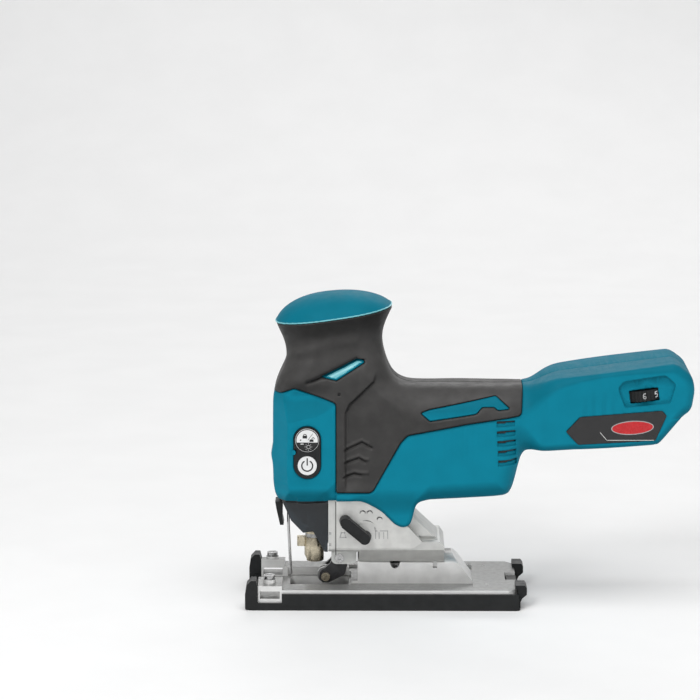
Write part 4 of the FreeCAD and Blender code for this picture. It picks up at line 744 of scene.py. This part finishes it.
# ---------------------------------------------------------------- materials
class Finish:
    """A node material: one Principled shader with noise in its colour, roughness and bump."""

    def __init__(self, name, colour, rough, metal=0.0, sockets=None):
        self.material = bpy.data.materials.new(name)
        self.material.use_nodes = True
        self.tree = self.material.node_tree
        self.shader = self.tree.nodes["Principled BSDF"]
        self.shader.inputs["Metallic"].default_value = metal
        self.shader.inputs["Roughness"].default_value = rough
        self.shader.inputs["Base Color"].default_value = colour
        for socket, value in (sockets or {}).items():
            self.shader.inputs[socket].default_value = value
        self.colour = colour
        self.rough = rough
        self.where = self.add("ShaderNodeTexCoord").outputs["Object"]

    def add(self, kind, **values):
        node = self.tree.nodes.new(kind)
        for key, value in values.items():
            setattr(node, key, value)
        return node

    def link(self, a, b):
        self.tree.links.new(a, b)

    def noise(self, size_mm, detail=3.0, stretch=None):
        """Noise whose features are about size_mm across, optionally drawn out along an axis."""
        node = self.add("ShaderNodeTexNoise")
        node.inputs["Scale"].default_value = 1000.0 / size_mm
        node.inputs["Detail"].default_value = detail
        source = self.where
        if stretch:
            mapping = self.add("ShaderNodeMapping")
            mapping.inputs["Scale"].default_value = stretch
            self.link(source, mapping.inputs["Vector"])
            source = mapping.outputs["Vector"]
        self.link(source, node.inputs["Vector"])
        return node.outputs["Fac"]

    def ramp(self, source, low, high, start=0.35, end=0.65):
        node = self.add("ShaderNodeMapRange")
        node.inputs["From Min"].default_value = start
        node.inputs["From Max"].default_value = end
        node.inputs["To Min"].default_value = low
        node.inputs["To Max"].default_value = high
        self.link(source, node.inputs["Value"])
        return node.outputs["Result"]

    def mottle(self, size_mm, amount):
        """Slightly lighter and darker patches."""
        mix = self.add("ShaderNodeMixRGB", blend_type="MULTIPLY")
        mix.inputs["Fac"].default_value = 1.0
        mix.inputs["Color1"].default_value = self.colour
        shade = self.ramp(self.noise(size_mm), 1 - amount, 1 + amount)
        self.link(shade, mix.inputs["Color2"])
        self.link(mix.outputs["Color"], self.shader.inputs["Base Color"])

    def painted_dark_top(self, colour):
        """Faces that look straight up get a darker colour than the ground sides: painted shade for
        the dark reflection on the brushed top.
        """
        normal = self.add("ShaderNodeNewGeometry").outputs["True Normal"]
        split = self.add("ShaderNodeSeparateXYZ")
        self.link(normal, split.inputs["Vector"])
        mix = self.add("ShaderNodeMixRGB")
        self.link(self.ramp(split.outputs["Z"], 0.0, 1.0, 0.90, 0.99), mix.inputs["Fac"])
        self.link(self.shader.inputs["Base Color"].links[0].from_socket, mix.inputs["Color1"])
        mix.inputs["Color2"].default_value = colour
        self.link(mix.outputs["Color"], self.shader.inputs["Base Color"])

    def painted_level_shade(self, down, level, up):
        """Painted shade and light: multiplies the colour by how far a face looks down, level or
        up.
        """
        normal = self.add("ShaderNodeNewGeometry").outputs["Normal"]
        split = self.add("ShaderNodeSeparateXYZ")
        self.link(normal, split.inputs["Vector"])
        total = self.add("ShaderNodeMath", operation="ADD")
        self.link(self.ramp(split.outputs["Z"], down - level, 0.0, -0.50, -0.02), total.inputs[0])
        self.link(self.ramp(split.outputs["Z"], level, up, 0.0, 0.35), total.inputs[1])
        mix = self.add("ShaderNodeMixRGB", blend_type="MULTIPLY")
        mix.inputs["Fac"].default_value = 1.0
        self.link(self.shader.inputs["Base Color"].links[0].from_socket, mix.inputs["Color1"])
        self.link(total.outputs["Value"], mix.inputs["Color2"])
        self.link(mix.outputs["Color"], self.shader.inputs["Base Color"])

    def rough_noise(self, size_mm, amount):
        source = self.ramp(self.noise(size_mm), self.rough - amount, self.rough + amount)
        self.link(source, self.shader.inputs["Roughness"])

    def bump(self, *layers):
        """Bump from (size_mm, height_mm) or (size_mm, height_mm, stretch) layers."""
        normal = None
        for size_mm, height_mm, *stretch in layers:
            node = self.add("ShaderNodeBump")
            node.inputs["Distance"].default_value = height_mm * MM
            node.inputs["Strength"].default_value = 1.0
            height = self.noise(size_mm, 2.0, stretch[0] if stretch else None)
            self.link(height, node.inputs["Height"])
            if normal is not None:
                self.link(normal, node.inputs["Normal"])
            normal = node.outputs["Normal"]
        self.link(normal, self.shader.inputs["Normal"])


# name: (colour, roughness, metal, (patch mm, amount), (gloss patch mm, amount),
#        bump layers of (size mm, height mm, stretch), other sockets)
FINISH_TABLE = {
    "teal_plastic": (
        (0.004, 0.205, 0.300, 1), 0.52, 0, (14, 0.035), (5, 0.05),
        ((0.34, 0.016), (2.2, 0.012)), {"IOR": 1.13},
    ),
    # pale teal for painted highlights
    "highlight_teal": (
        (0.16, 0.50, 0.56, 1), 0.30, 0, (9, 0.05), (4, 0.05), ((0.4, 0.01),), {},
    ),
    "charcoal_rubber": (
        (0.037, 0.0358, 0.035, 1), 0.54, 0, (9, 0.12), (6, 0.07),
        ((0.45, 0.035), (3.5, 0.03)), {"IOR": 1.36},
    ),
    "black_plastic": (
        (0.013, 0.014, 0.0145, 1), 0.46, 0, (6, 0.15), (4, 0.07),
        ((0.4, 0.025), (3, 0.02)), {"IOR": 1.34},
    ),
    "cast_metal": (
        (0.66, 0.66, 0.64, 1), 0.42, 0.55, (5, 0.06), (2.5, 0.07),
        ((0.5, 0.03), (4, 0.05)), {},
    ),
    "cast_base": (
        (0.80, 0.80, 0.79, 1), 0.40, 0.55, (7, 0.05), (3, 0.07),
        ((0.5, 0.012, (0.05, 1, 1)), (4, 0.03)), {},
    ),
    "zinc_steel": (
        (0.50, 0.50, 0.50, 1), 0.30, 1, (3, 0.08), (1.5, 0.08), ((0.4, 0.008),), {},
    ),
    "tool_steel": (
        (0.42, 0.42, 0.42, 1), 0.32, 1, (3, 0.08), (1.5, 0.08), ((0.4, 0.008),), {},
    ),
    "black_steel": (
        (0.045, 0.045, 0.048, 1), 0.38, 0.5, (3, 0.2), (2, 0.1), ((0.5, 0.02),), {},
    ),
    "bronze": (
        (0.46, 0.33, 0.16, 1), 0.40, 1, (2, 0.1), (2, 0.08), ((0.4, 0.02),), {},
    ),
    "nickel_clamp": (
        (0.56, 0.50, 0.38, 1), 0.30, 1, (2.5, 0.10), (1.6, 0.08), ((0.5, 0.004),), {},
    ),
    "copper": (
        (0.62, 0.27, 0.13, 1), 0.30, 1, (2, 0.1), (1.5, 0.08), ((0.4, 0.01),), {},
    ),
    "laminations": (
        (0.16, 0.16, 0.17, 1), 0.42, 0.9, (3, 0.12), (2, 0.08),
        ((0.5, 0.03, (3, 0.2, 0.2)),), {},
    ),
    "circuit_board": (
        (0.012, 0.10, 0.045, 1), 0.35, 0, (2, 0.2), (2, 0.08), ((0.7, 0.03),), {},
    ),
    "grey_plastic": (
        (0.66, 0.67, 0.65, 1), 0.40, 0.2, (4, 0.05), (2, 0.06), ((0.5, 0.02),), {},
    ),
    "white_label": (
        (0.78, 0.79, 0.79, 1), 0.32, 0, (3, 0.02), (2, 0.04), ((0.5, 0.006),), {},
    ),
    "gloss_black": (
        (0.012, 0.012, 0.013, 1), 0.20, 0, (4, 0.1), (3, 0.04), ((0.6, 0.006),), {},
    ),
    "smoked_clear": (
        (0.022, 0.032, 0.042, 1), 0.08, 0, None, (3, 0.03),
        ((3.0, 0.12, (1, 1, 0.04)),), {"Transmission Weight": 0.60, "IOR": 1.49},
    ),
    "clear_lens": (
        (0.92, 0.94, 0.96, 1), 0.06, 0, None, (2, 0.02),
        ((1.5, 0.01),), {"Transmission Weight": 0.90, "IOR": 1.49},
    ),
    "red_panel": (
        (0.51, 0.008, 0.013, 1), 0.28, 0, (3, 0.05), (2, 0.04), ((0.6, 0.006),), {},
    ),
    # black for print and seams, and for painted shade in the vents and the speck hole
    "ink_and_shade_black": (
        (0.008, 0.008, 0.009, 1), 0.42, 0, (1, 0.1), (1, 0.05), ((0.3, 0.004),), {},
    ),
}
# painted shade: the colour of the cast base's top faces
PAINTED_TOP_SHADE = (0.27, 0.27, 0.265, 1)
# painted shade and light: colour factors of faces that look down, level and up
PAINTED_LEVEL_SHADE = {"teal_plastic": (0.66, 1.0, 0.74), "charcoal_rubber": (0.26, 1.0, 1.35)}
# bevel of a CAD node's edges, mm
EDGE_BREAK = {
    "base_plate": 0.45, "base_cover": 0.8, "gear_housing": 0.45, "orbital_lever": 0.6,
    "battery_mount": 0.4,
}
PLAIN_EDGE_BREAK = 0.25
WELD_REACH = 0.00001


def make_finishes():
    finishes = {}
    for name, (colour, rough, metal, patches, gloss, bumps, sockets) in FINISH_TABLE.items():
        finish = Finish(f"{name}_finish", colour, rough, metal, sockets)
        if patches:
            finish.mottle(*patches)
        finish.rough_noise(*gloss)
        finish.bump(*bumps)
        if name == "cast_base":
            finish.painted_dark_top(PAINTED_TOP_SHADE)
        elif name in PAINTED_LEVEL_SHADE:
            finish.painted_level_shade(*PAINTED_LEVEL_SHADE[name])
        finishes[name] = finish
    return finishes


def paint(piece, finish):
    piece.data.materials.clear()
    piece.data.materials.append(FINISHES[finish].material)
    return piece


def dress_node(name, finish):
    """A CAD node's finish, with its edges broken by a small bevel and shaded smooth."""
    node = NODES[name]
    if not node.material_slots:
        node.data.materials.append(None)
    for slot in node.material_slots:
        slot.material = FINISHES[finish].material
    weld = node.modifiers.new("Weld", "WELD")
    weld.merge_threshold = WELD_REACH
    bevel = node.modifiers.new("Edge", "BEVEL")
    bevel.width = EDGE_BREAK.get(name, PLAIN_EDGE_BREAK) * MM
    bevel.segments = 2
    bevel.limit_method = "ANGLE"
    bevel.angle_limit = math.radians(32)
    bevel.harden_normals = True
    bevel.use_clamp_overlap = True


FINISHES = make_finishes()
SLOT_OF = {entry["node"]: entry["material_slot"] for entry in frame["record"]["subparts"]}
handle = build_handle()
for key, piece in handle.items():
    handle_finish = "teal_plastic" if key.endswith("housing") else "charcoal_rubber"
    paint(piece, handle_finish)
build_marks()
cap = paint(build_cap(), "teal_plastic")
REPLACED = set(handle) | {"top_cap"}
for node, slot in SLOT_OF.items():
    if node not in REPLACED:
        dress_node(node, slot)


# ---------------------------------------------------------------- stage, light and camera
def build_stage():
    """A pale floor that sweeps up behind the object."""
    floor = bpy.data.meshes.new("floor")
    reach, top, bend, back = 6.0, 5.0, 0.9, 1.2
    sweep = [(-reach, 0.0), (back, 0.0)]
    sweep += [
        (back + bend * math.sin(turn), bend * (1 - math.cos(turn)))
        for turn in np.linspace(0.1, math.pi / 2, 12)
    ]
    sweep.append((back + bend, top))
    points = [(side * reach, y, z) for y, z in sweep for side in (-1, 1)]
    faces = [(2 * i, 2 * i + 1, 2 * i + 3, 2 * i + 2) for i in range(len(sweep) - 1)]
    floor.from_pydata(points, [], faces)
    floor.shade_smooth()
    piece = bpy.data.objects.new("floor", floor)
    bpy.context.scene.collection.objects.link(piece)
    finish = Finish("floor_finish", (0.88, 0.88, 0.88, 1), 0.7)
    finish.mottle(60, 0.01)
    floor.materials.append(finish.material)


def area_light(name, at, target, size, power):
    lamp = bpy.data.lights.new(name, "AREA")
    lamp.shape = "RECTANGLE"
    lamp.size, lamp.size_y = size
    lamp.energy = power
    piece = bpy.data.objects.new(name, lamp)
    piece.location = at
    piece.rotation_euler = (Vector(target) - Vector(at)).to_track_quat("-Z", "Y").to_euler()
    bpy.context.scene.collection.objects.link(piece)


def build_light():
    world = bpy.data.worlds.new("studio")
    bpy.context.scene.world = world
    world.use_nodes = True
    background = world.node_tree.nodes["Background"]
    background.inputs["Color"].default_value = (1, 1, 1, 1)
    background.inputs["Strength"].default_value = 0.40
    middle = (0.0, 0.0, 0.09)
    area_light("overhead", (0.0, -0.5, 2.2), middle, (2.2, 1.2), 24)
    area_light("key", (-0.7, -1.3, 1.25), middle, (0.6, 0.6), 12)
    area_light("fill", (1.5, -1.3, 0.5), middle, (1.0, 0.7), 3)
    area_light("rear", (0.3, 1.6, 1.0), middle, (1.6, 0.5), 6)


CAMERA_AT = (40.026, -1932.623, 513.194)
CAMERA_AHEAD = (-0.00926682, 0.98321124, -0.18223553)
CAMERA_LENS = 164.57


def build_camera():
    camera = bpy.data.cameras.new("camera")
    camera.lens = CAMERA_LENS
    camera.sensor_width = 36.0
    camera.clip_end = 20
    piece = bpy.data.objects.new("camera", camera)
    piece.location = place(*CAMERA_AT)
    piece.rotation_euler = Vector(CAMERA_AHEAD).to_track_quat("-Z", "Y").to_euler()
    bpy.context.scene.collection.objects.link(piece)
    bpy.context.scene.camera = piece


build_stage()
build_light()
build_camera()
bpy.context.scene.view_settings.view_transform = "Standard"
